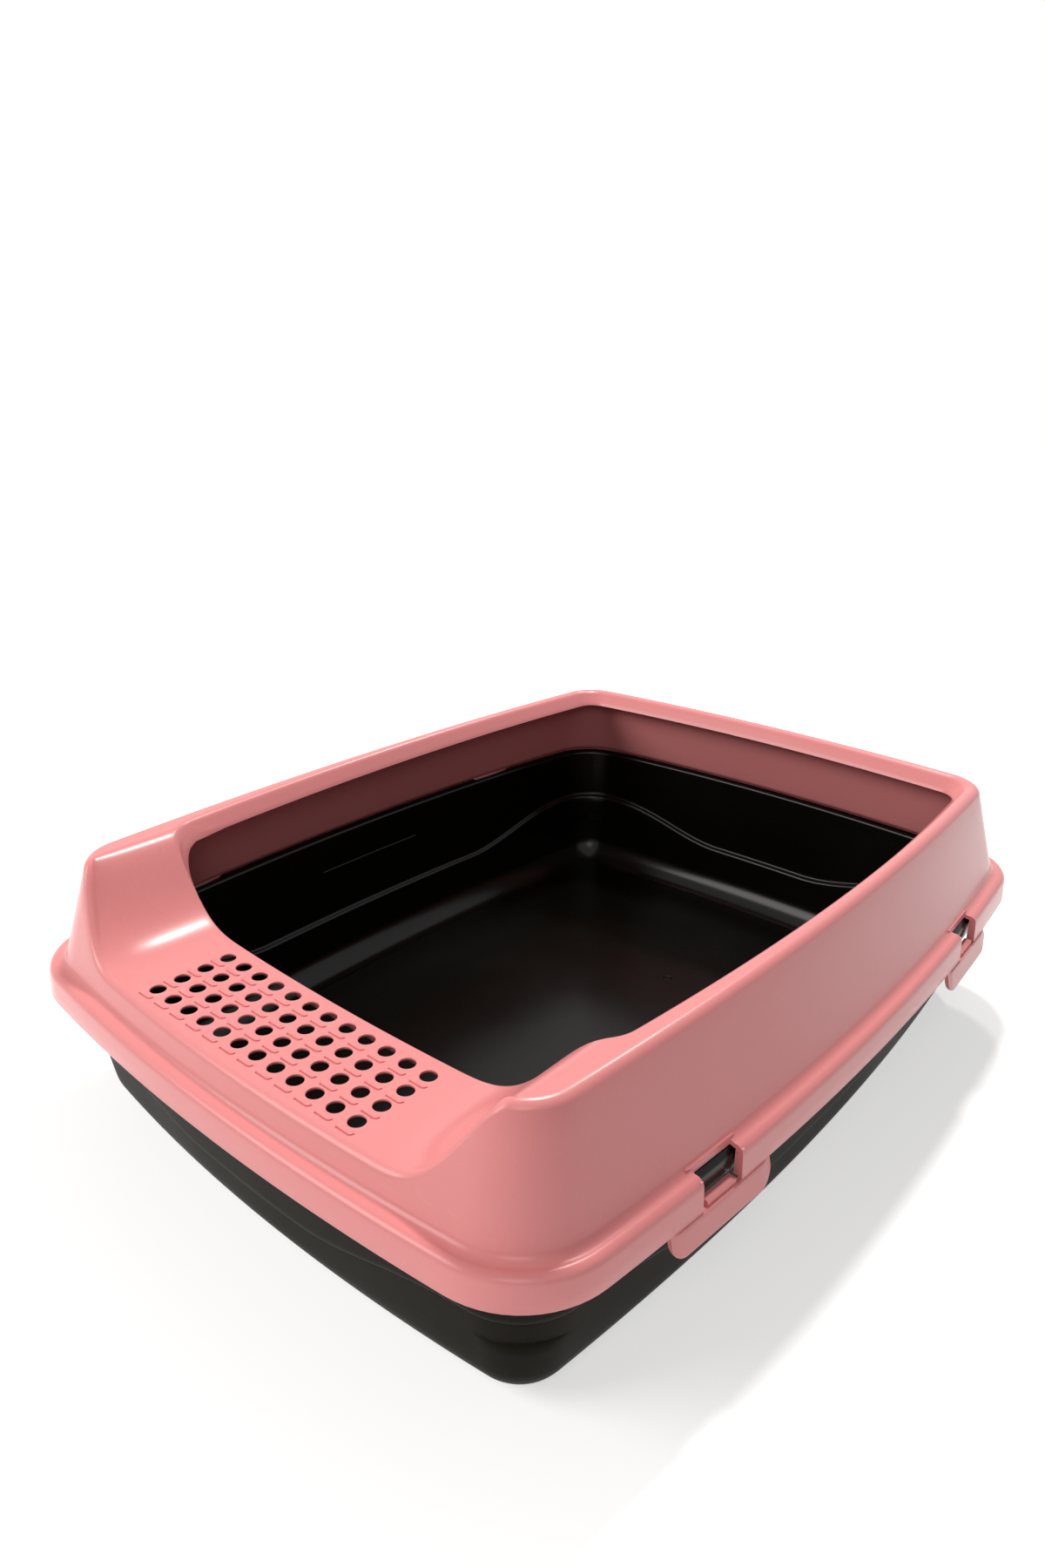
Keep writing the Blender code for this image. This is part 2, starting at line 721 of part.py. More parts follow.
def clip(name, place, parts, cutters, pink):
    """One snap clip on an empty whose place is the line that the skirt bends about."""
    hinge = bpy.data.objects.new(name + "_bend_line", None)
    lift = SHELF_Z - HINGE_DROP - SKIRT_BOTTOM_Z
    hinge.matrix_world = place @ Matrix.Translation((-HINGE_INSET, 0, lift))
    parts.objects.link(hinge)
    made = add_object(name, clip_mesh(name), parts, pink)
    made.parent = hinge
    made.location = (HINGE_INSET, 0, -lift)
    lug = bpy.data.objects.new(name + "_lug", lug_mesh(name + "_lug"))
    cutters.objects.link(lug)
    lug.parent = hinge
    lug.location = (HINGE_INSET, 0, -lift)
    hide_as_cutter(lug)
    joined = made.modifiers.new("lug", "BOOLEAN")
    joined.operation = "UNION"
    joined.object = lug
    joined.solver = "EXACT"
    return made


def build():
    empty_the_scene()
    parts = new_collection("rimmed_litter_tray")
    cutters = new_collection("cutters")
    pink = plastic("pink_plastic", PINK, 0.32)
    black = plastic("black_plastic", BLACK, 0.30)
    places = {
        "front_right_clip": clip_place(1, CLIP_FRONT_Y),
        "rear_right_clip": clip_place(1, CLIP_REAR_Y),
        "front_left_clip": clip_place(-1, CLIP_FRONT_Y),
        "rear_left_clip": clip_place(-1, CLIP_REAR_Y),
    }
    tray(parts, black)
    rim_frame(parts, cutters, pink, places)
    for name, place in places.items():
        clip(name, place, parts, cutters, pink)


build()
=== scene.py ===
"""Dresses a two-piece litter tray: a black tray under a pink rim frame with a low perforated step.

Both pieces are moulded in polypropylene. Metres, +Z up, the origin on the floor under the middle.
"""

import math

import bmesh
import bpy
import numpy as np
from mathutils import Matrix, Vector


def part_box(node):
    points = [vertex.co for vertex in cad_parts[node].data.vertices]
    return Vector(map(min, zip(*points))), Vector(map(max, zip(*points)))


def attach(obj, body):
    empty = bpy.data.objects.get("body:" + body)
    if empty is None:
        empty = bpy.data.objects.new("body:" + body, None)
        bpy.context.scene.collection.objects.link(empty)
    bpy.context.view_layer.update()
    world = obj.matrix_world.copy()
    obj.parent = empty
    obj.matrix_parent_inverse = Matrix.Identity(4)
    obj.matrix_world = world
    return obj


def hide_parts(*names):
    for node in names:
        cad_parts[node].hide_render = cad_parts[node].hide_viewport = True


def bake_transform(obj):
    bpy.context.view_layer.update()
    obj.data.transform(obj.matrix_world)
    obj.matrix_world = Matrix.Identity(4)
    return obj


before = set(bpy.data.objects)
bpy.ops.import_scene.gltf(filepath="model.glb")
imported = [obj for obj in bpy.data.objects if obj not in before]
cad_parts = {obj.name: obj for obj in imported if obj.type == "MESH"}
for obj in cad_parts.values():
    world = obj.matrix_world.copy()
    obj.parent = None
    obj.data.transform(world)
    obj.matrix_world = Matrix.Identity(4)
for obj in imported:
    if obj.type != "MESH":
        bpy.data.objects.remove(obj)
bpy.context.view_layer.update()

# The tray
# One black moulding: a rolled rim, a drafted wall with a wavy ledge round it, and a flat floor.
# The tool was polished inside, so the inside shines, and the outside was left satin; the inside's black is also
# painted darker than the outside's, as painted shade.

frame_low, frame_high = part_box("rim_frame")
rim_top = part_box("tray")[1].z
WIDTH = frame_high.x - frame_low.x
LENGTH = frame_high.y - frame_low.y
SIDE_BOW = 0.0175
END_BOW = 0.015
CORNER_RADIUS = 0.049
SMALLEST_RADIUS = 0.0022
# How many faces each run of an outline has, and how much of the front run its two ends take.
CORNER_STEPS = 14
SIDE_STEPS = 40
REAR_STEPS = 28
FRONT_STEPS = 104
FRONT_END_STEPS = 42
FRONT_END_SHARE = 0.20


def lerp(a, b, t):
    """The value a share t of the way from a to b."""
    return a + (b - a) * t


def smoothstep(t):
    """Eases a share in and out between 0 and 1."""
    t = np.clip(t, 0.0, 1.0)
    return t * t * (3.0 - 2.0 * t)


def circle_points(centre, radius, angles):
    return centre + radius * np.column_stack([np.cos(angles), np.sin(angles)])


def turn_between(start, stop):
    """The shorter turn from one angle to another."""
    return (stop - start + math.pi) % (2 * math.pi) - math.pi


class Outline:
    """A rounded rectangle whose four sides bow outwards, seen from above."""

    def __init__(self, half_width, front, rear, side_bow, front_bow, rear_bow, front_radius, rear_radius):
        self.half_width = half_width
        self.front = front
        self.rear = rear
        self.side_bow = side_bow
        self.front_bow = front_bow
        self.rear_bow = rear_bow
        self.front_radius = front_radius
        self.rear_radius = rear_radius

    def inset(self, distance):
        """The same outline drawn in by a distance, its corners tighter by as much."""
        moved = dict(vars(self))
        for key in ("half_width", "front", "rear"):
            moved[key] -= distance
        for key in ("front_radius", "rear_radius"):
            moved[key] = max(moved[key] - distance, SMALLEST_RADIUS)
        return Outline(**moved)

    def towards(self, other, share):
        """An outline part of the way from this one to another."""
        return Outline(**{key: lerp(value, getattr(other, key), share) for key, value in vars(self).items()})

    def corner(self, side, end):
        """Centre, radius and tangent angles of one corner, which touches its side's and its end's arc."""
        reach, bow, radius = self.rear, self.rear_bow, self.rear_radius
        if end < 0:
            reach, bow, radius = self.front, self.front_bow, self.front_radius
        half_length = (self.rear + self.front) / 2
        side_radius = (half_length**2 + self.side_bow**2) / (2 * self.side_bow)
        end_radius = (self.half_width**2 + bow**2) / (2 * bow)
        side_centre = np.array([side * (self.half_width - side_radius), (self.rear - self.front) / 2])
        end_centre = np.array([0.0, end * (reach - end_radius)])
        apart = end_centre - side_centre
        distance = np.linalg.norm(apart)
        from_side, from_end = side_radius - radius, end_radius - radius
        along = (distance**2 + from_side**2 - from_end**2) / (2 * distance)
        across = math.sqrt(max(from_side**2 - along**2, 0.0))
        direction = apart / distance
        normal = np.array([-direction[1], direction[0]])
        choices = [side_centre + direction * along + normal * across * sign for sign in (1, -1)]
        centre = max(choices, key=lambda p: p[0] * side + p[1] * end)
        to_side, to_end = centre - side_centre, centre - end_centre
        return centre, radius, math.atan2(to_side[1], to_side[0]), math.atan2(to_end[1], to_end[0])

    def stations(self, fine=1):
        """Points round the outline, counterclockwise from the front end of the front right corner."""
        corners = [self.corner(1, -1), self.corner(1, 1), self.corner(-1, 1), self.corner(-1, -1)]
        steps = [SIDE_STEPS * fine, REAR_STEPS * fine, SIDE_STEPS * fine, FRONT_STEPS * fine]
        found = []
        for number, (centre, radius, side_angle, end_angle) in enumerate(corners):
            start, stop = (end_angle, side_angle) if number % 2 == 0 else (side_angle, end_angle)
            turn = turn_between(start, stop)
            arc = circle_points(centre, radius, start + turn * np.linspace(0, 1, CORNER_STEPS * fine + 1))
            found.append(arc)
            next_centre, next_radius, next_side, next_end = corners[(number + 1) % 4]
            landing = next_side if number % 2 == 0 else next_end
            target = circle_points(next_centre, next_radius, np.array([landing]))[0]
            shares = np.arange(1, steps[number]) / steps[number]
            if number == 3:
                shares = crowded(shares)
            turn = turn_between(stop, landing)
            run_radius = np.linalg.norm(target - arc[-1]) / (2 * math.sin(abs(turn) / 2))
            run_centre = arc[-1] - run_radius * np.array([math.cos(stop), math.sin(stop)])
            found.append(circle_points(run_centre, run_radius, stop + turn * shares))
        return np.concatenate(found)


def even_outline(half_width, half_length, side_bow, end_bow, radius):
    """An outline that is the same in front and at the rear."""
    return Outline(half_width, half_length, half_length, side_bow, end_bow, end_bow, radius, radius)


def crowded(shares):
    """Shares along the front run, crowded at both ends where the cheeks rise."""
    end_steps = FRONT_END_STEPS / FRONT_STEPS
    places = [0.0, end_steps, 1 - end_steps, 1.0]
    return np.interp(shares, places, [0.0, FRONT_END_SHARE, 1 - FRONT_END_SHARE, 1.0])


def ring(outline, height):
    """An outline's stations, lifted to one height or to a height of their own each."""
    plan = outline.stations()
    return np.column_stack([plan, np.broadcast_to(height, len(plan))])


def loft(name, rings, close_last=False):
    """A skin of four-sided faces through closed rings of equal counts."""
    count = len(rings[0])
    faces = []
    for row in range(len(rings) - 1):
        for k in range(count):
            low, following = row * count, (k + 1) % count
            faces.append((low + k, low + following, low + count + following, low + count + k))
    if close_last:
        faces.append(tuple(range((len(rings) - 1) * count, len(rings) * count)))
    mesh = bpy.data.meshes.new(name)
    mesh.from_pydata(np.concatenate(rings).tolist(), [], faces)
    made = bpy.data.objects.new(name, mesh)
    bpy.context.scene.collection.objects.link(made)
    return made


SHARP_ANGLE = math.radians(38)
BEVEL_ANGLE = math.radians(52)


def settle(piece):
    """Bakes a piece's modifiers into its mesh, and shades it smooth up to an angle."""
    bpy.context.view_layer.update()
    mesh = bpy.data.meshes.new_from_object(piece.evaluated_get(bpy.context.evaluated_depsgraph_get()))
    piece.modifiers.clear()
    piece.data = mesh
    mesh.name = piece.name
    mesh.shade_smooth()
    mesh.set_sharp_from_angle(angle=SHARP_ANGLE)


def wall_and_edges(piece, wall, edge_radius):
    """Gives a skin its wall thickness inwards, and rounds the wall's sharp edges."""
    shell = piece.modifiers.new("wall", "SOLIDIFY")
    shell.thickness = wall
    shell.offset = -1.0
    shell.use_even_offset = True
    rounding = piece.modifiers.new("rounded edges", "BEVEL")
    rounding.width = edge_radius
    rounding.segments = 2
    rounding.limit_method = "ANGLE"
    rounding.angle_limit = BEVEL_ANGLE
    return shell


def join_rows(work, rows):
    """Makes rows of points one closed body, with a wall between each two rows and a cap at both ends."""
    for near, far in zip(rows, rows[1:]):
        for k in range(len(near)):
            following = (k + 1) % len(near)
            work.faces.new((near[k], near[following], far[following], far[k]))
    work.faces.new(rows[0])
    work.faces.new(list(reversed(rows[-1])))


def plain_object(name, work):
    """An object from a working mesh, its faces turned outwards."""
    bmesh.ops.recalc_face_normals(work, faces=work.faces)
    mesh = bpy.data.meshes.new(name)
    work.to_mesh(mesh)
    work.free()
    made = bpy.data.objects.new(name, mesh)
    bpy.context.scene.collection.objects.link(made)
    return made


cutters = []


def shape_with(piece, cutter, operation="DIFFERENCE"):
    """Cuts one body out of a piece, or joins it on, once the piece settles."""
    made = piece.modifiers.new(cutter.name, "BOOLEAN")
    made.operation = operation
    made.object = cutter
    made.solver = "EXACT"
    cutters.append(cutter)


TRAY_WALL = 0.0025
TRAY_EDGE_RADIUS = 0.0004
RIM_INSET = 0.005
RIM_DROP = 0.0102
RIM_ROUND = 0.0025
RIM_WIDTH = 0.008
RIM_RINGS = 7
FOOT_INSET = 0.0280
FOOT_SIDE_BOW = 0.013
FOOT_END_BOW = 0.012
FOOT_CORNER_RADIUS = 0.0275
FOOT_ROUND = 0.0245 - TRAY_WALL
FOOT_RINGS = 14
FOOT_CLEAR = 0.0005
LEDGE_STEP = 0.0025
LEDGE_LOW = 0.040
LEDGE_RISE = 0.018
LEDGE_RUN = 0.095
LEDGE_FLAT = 0.040
LEDGE_CLEAR = 0.0005
POST_TOP = 0.031
POST_RISE = 0.009
POST_STEP = 0.0042
POST_CLEAR = 0.0008
HEIGHT_LEVELS = 12

# Each pair is an inset from the rim's outline and a drop from its top.
RIM_EDGE = ((0.0, RIM_DROP), (0.0, 0.0024), (0.0001, 0.0020), (0.0017, 0.0002), (0.0022, 0.0))
# Each pair is a share of the step and a drop from the ledge or from the post's top.
LEDGE_NOSE = ((1.0, -0.0006), (0.93, 0.0), (0.72, 0.0005), (0.28, 0.0011), (0.07, 0.0016), (0.0, 0.0024))
POST_SHELF = ((0.0, 0.0), (0.25, 0.0004), (0.8, 0.0010), (1.0, 0.0015))

skirt_line = even_outline(WIDTH / 2, LENGTH / 2, SIDE_BOW, END_BOW, CORNER_RADIUS)
wall_top_line = skirt_line.inset(RIM_INSET + RIM_WIDTH)
wall_top = rim_top - RIM_ROUND
foot_line = even_outline(
    WIDTH / 2 - FOOT_INSET - TRAY_WALL,
    LENGTH / 2 - FOOT_INSET - TRAY_WALL,
    FOOT_SIDE_BOW,
    FOOT_END_BOW,
    FOOT_CORNER_RADIUS,
)


def tray_wall_line(height, stand_out=0.0, tighter=0.0):
    """The inner wall's outline at a height, on its straight draft from the rim to the floor."""
    line = wall_top_line.inset(LEDGE_STEP).towards(foot_line, (wall_top - height) / (wall_top - TRAY_WALL))
    line = line.inset(-stand_out)
    line.front_radius -= tighter
    line.rear_radius -= tighter
    return line


def ring_at_heights(outline_at, heights):
    """A ring whose every station stands on the wall at its own height."""
    levels = np.linspace(heights.min(), heights.max() + 1e-6, HEIGHT_LEVELS)
    table = np.array([outline_at(level).stations() for level in levels])
    place = np.clip((heights - levels[0]) / (levels[1] - levels[0]), 0, len(levels) - 1.001)
    low = place.astype(int)
    share = (place - low)[:, None]
    numbers = np.arange(len(heights))
    plan = lerp(table[low, numbers], table[low + 1, numbers], share)
    return np.column_stack([plan, heights])


def ledge_heights():
    """The ledge lies low along the middle of each side and rises in a wave to the corners."""
    plan = tray_wall_line(LEDGE_LOW).stations()
    from_side = np.maximum(WIDTH / 2 - FOOT_INSET - np.abs(plan[:, 0]), 0)
    from_end = np.maximum(LENGTH / 2 - FOOT_INSET - np.abs(plan[:, 1]), 0)
    return LEDGE_LOW + LEDGE_RISE * smoothstep(1 - (from_side + from_end - LEDGE_FLAT) / LEDGE_RUN)


def tray_skin():
    """The tray's upper skin, from the rim's hanging edge over the rim and down the wall to the floor."""
    rings = [ring(skirt_line.inset(RIM_INSET + inset), rim_top - drop) for inset, drop in RIM_EDGE]
    for angle in np.linspace(0, math.pi / 2, RIM_RINGS):
        line = wall_top_line.inset(RIM_ROUND * (math.sin(angle) - 1))
        rings.append(ring(line, wall_top + RIM_ROUND * math.cos(angle)))
    ledge = ledge_heights()
    for share in (0.25, 0.5, 0.75, 0.95):
        heights = lerp(wall_top, ledge + LEDGE_CLEAR, share)
        rings.append(ring_at_heights(lambda z: tray_wall_line(z, LEDGE_STEP), heights))
    return rings + ledge_rings(ledge) + post_rings(ledge) + foot_rings()


def ledge_rings(ledge):
    """The ledge's rounded nose and the small fillet under it."""
    rings = []
    for share, drop in LEDGE_NOSE:
        rings.append(ring_at_heights(lambda z, s=share: tray_wall_line(z, LEDGE_STEP * s), ledge - drop))
    return rings


def post_rings(ledge):
    """The lower wall, whose corners step in to a tighter round below a short shelf."""
    rings = []
    top = POST_TOP + POST_RISE * (ledge - LEDGE_LOW) / LEDGE_RISE
    for share in (0.3, 0.6, 0.9):
        rings.append(ring_at_heights(tray_wall_line, lerp(ledge - LEDGE_NOSE[-1][1], top + POST_CLEAR, share)))
    for tighter, drop in POST_SHELF:
        rings.append(ring_at_heights(lambda z, t=tighter: tray_wall_line(z, 0.0, POST_STEP * t), top - drop))
    foot_top = TRAY_WALL + FOOT_ROUND + FOOT_CLEAR
    for share in (0.35, 0.7):
        heights = lerp(top - POST_SHELF[-1][1], foot_top, share)
        rings.append(ring_at_heights(lambda z: tray_wall_line(z, 0.0, POST_STEP), heights))
    return rings


def foot_rings():
    """The round between the wall and the floor, tangent to both."""
    lean = math.atan((FOOT_INSET - RIM_INSET - RIM_WIDTH + TRAY_WALL - LEDGE_STEP) / (wall_top - TRAY_WALL))
    start = tray_wall_line(TRAY_WALL + FOOT_ROUND, 0.0, POST_STEP)
    rings = []
    for angle in np.linspace(lean, math.pi / 2, FOOT_RINGS):
        line = start.inset(FOOT_ROUND / math.cos(lean) - FOOT_ROUND * math.cos(angle))
        rings.append(ring(line, TRAY_WALL + FOOT_ROUND * (1 - math.sin(angle))))
    return rings


LINE_START = -0.0434
LINE_STOP = 0.0436
LINE_HEIGHT = 0.071
LINE_END = 0.0035
LINE_RADIUS = 0.0005
LINE_SIDES = 6


def on_left_wall(y, z):
    """The point of the left wall's inside at a place along it and a height."""
    plan = tray_wall_line(z, LEDGE_STEP).stations()
    left = plan[(plan[:, 0] < 0) & (np.abs(plan[:, 1]) < LENGTH / 4)]
    order = np.argsort(left[:, 1])
    return np.array([np.interp(y, left[order, 1], left[order, 0]), y, z])


def fill_line():
    """The fine raised line on the left wall, with both of its ends turned down."""
    path = [on_left_wall(LINE_START, LINE_HEIGHT - LINE_END)]
    path += [on_left_wall(y, LINE_HEIGHT) for y in np.linspace(LINE_START, LINE_STOP, 9)]
    path.append(on_left_wall(LINE_STOP, LINE_HEIGHT - LINE_END))
    outwards = np.array([1.0, 0.0, 0.0])
    turns = np.arange(LINE_SIDES) * 2 * math.pi / LINE_SIDES
    work = bmesh.new()
    rows = []
    for number, point in enumerate(path):
        ahead = path[min(number + 1, len(path) - 1)] - path[max(number - 1, 0)]
        side = np.cross(outwards, ahead / np.linalg.norm(ahead))
        round_it = [LINE_RADIUS * (math.cos(turn) * outwards + math.sin(turn) * side) for turn in turns]
        rows.append([work.verts.new(point + offset) for offset in round_it])
    join_rows(work, rows)
    return plain_object("fill_line", work)


GATE_X = 0.012
GATE_Y = 0.0986
GATE_STEPS = 24
# Each pair is a distance from the gate's middle and a height over the floor.
GATE_RING = ((0.0021, -0.0006), (0.0022, 0.0002), (0.0027, 0.0005), (0.0032, 0.0002), (0.0033, -0.0006))
GATE_STUB = ((0.0, -0.0006), (0.0008, -0.0006), (0.0008, 0.0003), (0.0005, 0.0007), (0.0, 0.0008))


def gate_mark():
    """The little ring that the plastic's inlet left on the floor, with its stub in the middle."""
    work = bmesh.new()
    centre = (GATE_X, GATE_Y, 0.0)
    for profile, closed in ((GATE_RING, True), (GATE_STUB, False)):
        spun = [work.verts.new((GATE_X + out, GATE_Y, TRAY_WALL + up)) for out, up in profile]
        loop = [work.edges.new(pair) for pair in zip(spun, spun[1:])]
        if closed:
            loop.append(work.edges.new((spun[-1], spun[0])))
        bmesh.ops.spin(
            work, geom=spun + loop, cent=centre, axis=(0, 0, 1), angle=2 * math.pi, steps=GATE_STEPS, use_merge=True
        )
    bmesh.ops.remove_doubles(work, verts=work.verts, dist=1e-6)
    return plain_object("gate_mark", work)


def noise(nodes, links, place, scale, detail, name):
    """A soft random pattern whose scale comes from a socket."""
    made = nodes.new("ShaderNodeTexNoise")
    made.name = name
    made.inputs["Detail"].default_value = detail
    links.new(place, made.inputs["Vector"])
    links.new(scale, made.inputs["Scale"])
    return made.outputs["Fac"]


def worked_out(nodes, links, operation, first, second):
    """The value that two sockets, or a socket and a number, give together."""
    made = nodes.new("ShaderNodeMath")
    made.operation = operation
    links.new(first, made.inputs[0])
    if isinstance(second, bpy.types.NodeSocket):
        links.new(second, made.inputs[1])
    else:
        made.inputs[1].default_value = second
    return made.outputs["Value"]


def moulded_skin_group():
    """What every moulded face shows: slow flow clouds, a fine grain, and hairline scuffs from use."""
    group = bpy.data.node_groups.new("moulded skin", "ShaderNodeTree")
    face = group.interface
    for name, value in (("Cloud Scale", 9.0), ("Grain Scale", 900.0), ("Scuff Scale", 60.0), ("Scuff Share", 0.4)):
        face.new_socket(name, in_out="INPUT", socket_type="NodeSocketFloat").default_value = value
    for name in ("Cloud", "Scuff", "Height"):
        face.new_socket(name, in_out="OUTPUT", socket_type="NodeSocketFloat")
    nodes, links = group.nodes, group.links
    inputs, outputs = nodes.new("NodeGroupInput").outputs, nodes.new("NodeGroupOutput").inputs
    place = nodes.new("ShaderNodeTexCoord").outputs["Object"]
    cloud = noise(nodes, links, place, inputs["Cloud Scale"], 3.0, "flow cloud")
    grain = noise(nodes, links, place, inputs["Grain Scale"], 2.0, "grain")
    stretch = nodes.new("ShaderNodeMapping")
    stretch.inputs["Scale"].default_value = (1.0, 14.0, 5.0)
    stretch.inputs["Rotation"].default_value = (0.3, 0.2, 0.7)
    links.new(place, stretch.inputs["Vector"])
    hairlines = noise(nodes, links, stretch.outputs["Vector"], inputs["Scuff Scale"], 4.0, "hairlines")
    sharpen = nodes.new("ShaderNodeMapRange")
    sharpen.inputs["From Min"].default_value = 0.60
    sharpen.inputs["From Max"].default_value = 0.72
    links.new(hairlines, sharpen.inputs["Value"])
    scuff = worked_out(nodes, links, "MULTIPLY", sharpen.outputs["Result"], inputs["Scuff Share"])
    links.new(cloud, outputs["Cloud"])
    links.new(scuff, outputs["Scuff"])
    links.new(worked_out(nodes, links, "SUBTRACT", grain, scuff), outputs["Height"])
    return group


moulded_skin = moulded_skin_group()


def moulded_plastic(name, colour, deep_colour, scuffed_colour, roughness, rough_spread, bump, specular):
    """A plastic whose colour, gloss and relief all vary with the moulded skin."""
    material = bpy.data.materials.new(name)
    material.use_nodes = True
    nodes, links = material.node_tree.nodes, material.node_tree.links
    shader = nodes["Principled BSDF"]
    shader.inputs["Specular IOR Level"].default_value = specular
    skin = nodes.new("ShaderNodeGroup")
    skin.node_tree = moulded_skin
    tint = nodes.new("ShaderNodeMix")
    tint.data_type = "RGBA"
    tint.inputs["A"].default_value = (*deep_colour, 1.0)
    tint.inputs["B"].default_value = (*colour, 1.0)
    links.new(skin.outputs["Cloud"], tint.inputs["Factor"])
    wear = nodes.new("ShaderNodeMix")
    wear.data_type = "RGBA"
    wear.inputs["B"].default_value = (*scuffed_colour, 1.0)
    links.new(skin.outputs["Scuff"], wear.inputs["Factor"])
    links.new(tint.outputs["Result"], wear.inputs["A"])
    links.new(wear.outputs["Result"], shader.inputs["Base Color"])
    gloss = nodes.new("ShaderNodeMapRange")
    gloss.inputs["From Min"].default_value = 0.3
    gloss.inputs["From Max"].default_value = 0.7
    gloss.inputs["To Min"].default_value = roughness - rough_spread
    gloss.inputs["To Max"].default_value = roughness + rough_spread
    links.new(skin.outputs["Cloud"], gloss.inputs["Value"])
    links.new(gloss.outputs["Result"], shader.inputs["Roughness"])
    relief = nodes.new("ShaderNodeBump")
    relief.inputs["Strength"].default_value = bump
    relief.inputs["Distance"].default_value = 0.0001
    links.new(skin.outputs["Height"], relief.inputs["Height"])
    links.new(relief.outputs["Normal"], shader.inputs["Normal"])
    return material


# The inside's colours are set darker than the outside's: painted shade over the real polished black.
shaded_black_gloss = moulded_plastic(
    "tray_black_gloss",
    colour=(0.0024, 0.0020, 0.0013),
    deep_colour=(0.0017, 0.0014, 0.0009),
    scuffed_colour=(0.006, 0.005, 0.004),
    roughness=0.22,
    rough_spread=0.04,
    bump=0.10,
    specular=0.22,
)
black_satin = moulded_plastic(
    "tray_black_satin",
    colour=(0.0120, 0.0105, 0.0065),
    deep_colour=(0.0095, 0.0085, 0.0050),
    scuffed_colour=(0.020, 0.018, 0.013),
    roughness=0.42,
    rough_spread=0.05,
    bump=0.30,
    specular=0.03,
)

tray = loft("tray_shell", tray_skin(), close_last=True)
tray.data.materials.append(shaded_black_gloss)
tray.data.materials.append(black_satin)
wall_and_edges(tray, TRAY_WALL, TRAY_EDGE_RADIUS).material_offset = 1
shape_with(tray, fill_line(), "UNION")
shape_with(tray, gate_mark(), "UNION")
settle(tray)
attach(tray, "tray")
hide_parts("tray")

# The rim frame
# One pink moulding that drops over the tray: a skirt and shelf round the rim, drafted walls up to a
# rounded crest with a turned-down lip, and at the front a low step between two swept cheeks.

FRAME_WALL = 0.0022
SEAT_GAP = 0.0003
FRAME_EDGE_RADIUS = 0.00035
SKIRT_DRAFT = 0.0006
SKIRT_EDGE_RADIUS = 0.004
SHELF_FILLET = 0.005
WALL_FOOT_INSET = 0.0085
CREST_INSET = 0.0262
CREST_SIDE_BOW = 0.0116
CREST_END_BOW = 0.0112
CREST_CORNER_RADIUS = 0.0275
TOP_EDGE_RADIUS = 0.0047
EDGE_RINGS = 7
FILLET_RINGS = 8
OPENING_FRONT_RADIUS = 0.0225
OPENING_REAR_RADIUS = 0.020
LIP_TOP_INSET = 0.0334
LIP_EDGE_RADIUS = 0.005
LIP_DEPTH = 0.0097
LIP_LEAN = math.radians(35)
LIP_FRONT_LEAN = 0.0010
LIP_FRONT_RADIUS = 0.0205
STEP_DEPTH = 0.0809
STEP_INNER_BOW = 0.0091
STEP_RISE = 0.013
CHEEK_FOOT_OUTER = WIDTH / 2 - 0.1068
CHEEK_FOOT_INNER = WIDTH / 2 - 0.1236
CHEEK_HEAD_OUTER = WIDTH / 2 - 0.0482
CHEEK_HEAD_INNER = WIDTH / 2 - 0.0462
CHEEK_SKEW = 1.886
CHEEK_FADE = 0.0114
CHEEK_FLAT_SHARE = 0.0002
# How many times finer the lip's outline is sampled where its stations are moved along it.
FINE = 6
STEP_ROWS = 26
ROW_CROWDING = 1.3

skirt_bottom = frame_low.z
shelf = rim_top + FRAME_WALL + SEAT_GAP
step = shelf + STEP_RISE
crest = frame_high.z
wall_foot_line = skirt_line.inset(WALL_FOOT_INSET)
crest_line = even_outline(
    WIDTH / 2 - CREST_INSET, LENGTH / 2 - CREST_INSET, CREST_SIDE_BOW, CREST_END_BOW, CREST_CORNER_RADIUS
)
opening_line = Outline(
    WIDTH / 2 - LIP_TOP_INSET,
    LENGTH / 2 - STEP_DEPTH,
    LENGTH / 2 - LIP_TOP_INSET,
    CREST_SIDE_BOW,
    STEP_INNER_BOW,
    CREST_END_BOW,
    OPENING_FRONT_RADIUS,
    OPENING_REAR_RADIUS,
)
lip_turn = math.pi / 2 - LIP_LEAN
lip_tangent = LIP_EDGE_RADIUS * math.tan(lip_turn / 2)
lip_reach = LIP_DEPTH * math.tan(LIP_LEAN)
lip_foot_line = opening_line.inset(lip_reach)
lip_foot_line.front = opening_line.front - LIP_FRONT_LEAN
lip_foot_line.front_radius = LIP_FRONT_RADIUS
wall_slope = (CREST_INSET - WALL_FOOT_INSET) / (crest - shelf)
wall_angle = math.atan(wall_slope)


def frame_top(x, y, behind=0.0):
    """Height of the frame's top: the step, the cheeks' S-shaped rise and the crest."""
    settled = 1 - np.exp(-behind / CHEEK_FADE)
    foot = lerp(CHEEK_FOOT_OUTER, CHEEK_FOOT_INNER, settled)
    head = lerp(CHEEK_HEAD_OUTER, CHEEK_HEAD_INNER, settled)
    climb = np.clip((np.abs(x) - foot) / (head - foot), 0, 1)
    rise = np.maximum(smoothstep(climb**CHEEK_SKEW) - CHEEK_FLAT_SHARE, 0) / (1 - CHEEK_FLAT_SHARE)
    return np.where(y > 0, crest, lerp(step, crest, rise))


def frame_wall_line(height):
    """The drafted wall's outline at a height."""
    return wall_foot_line.towards(crest_line, (height - shelf) / (crest - shelf))


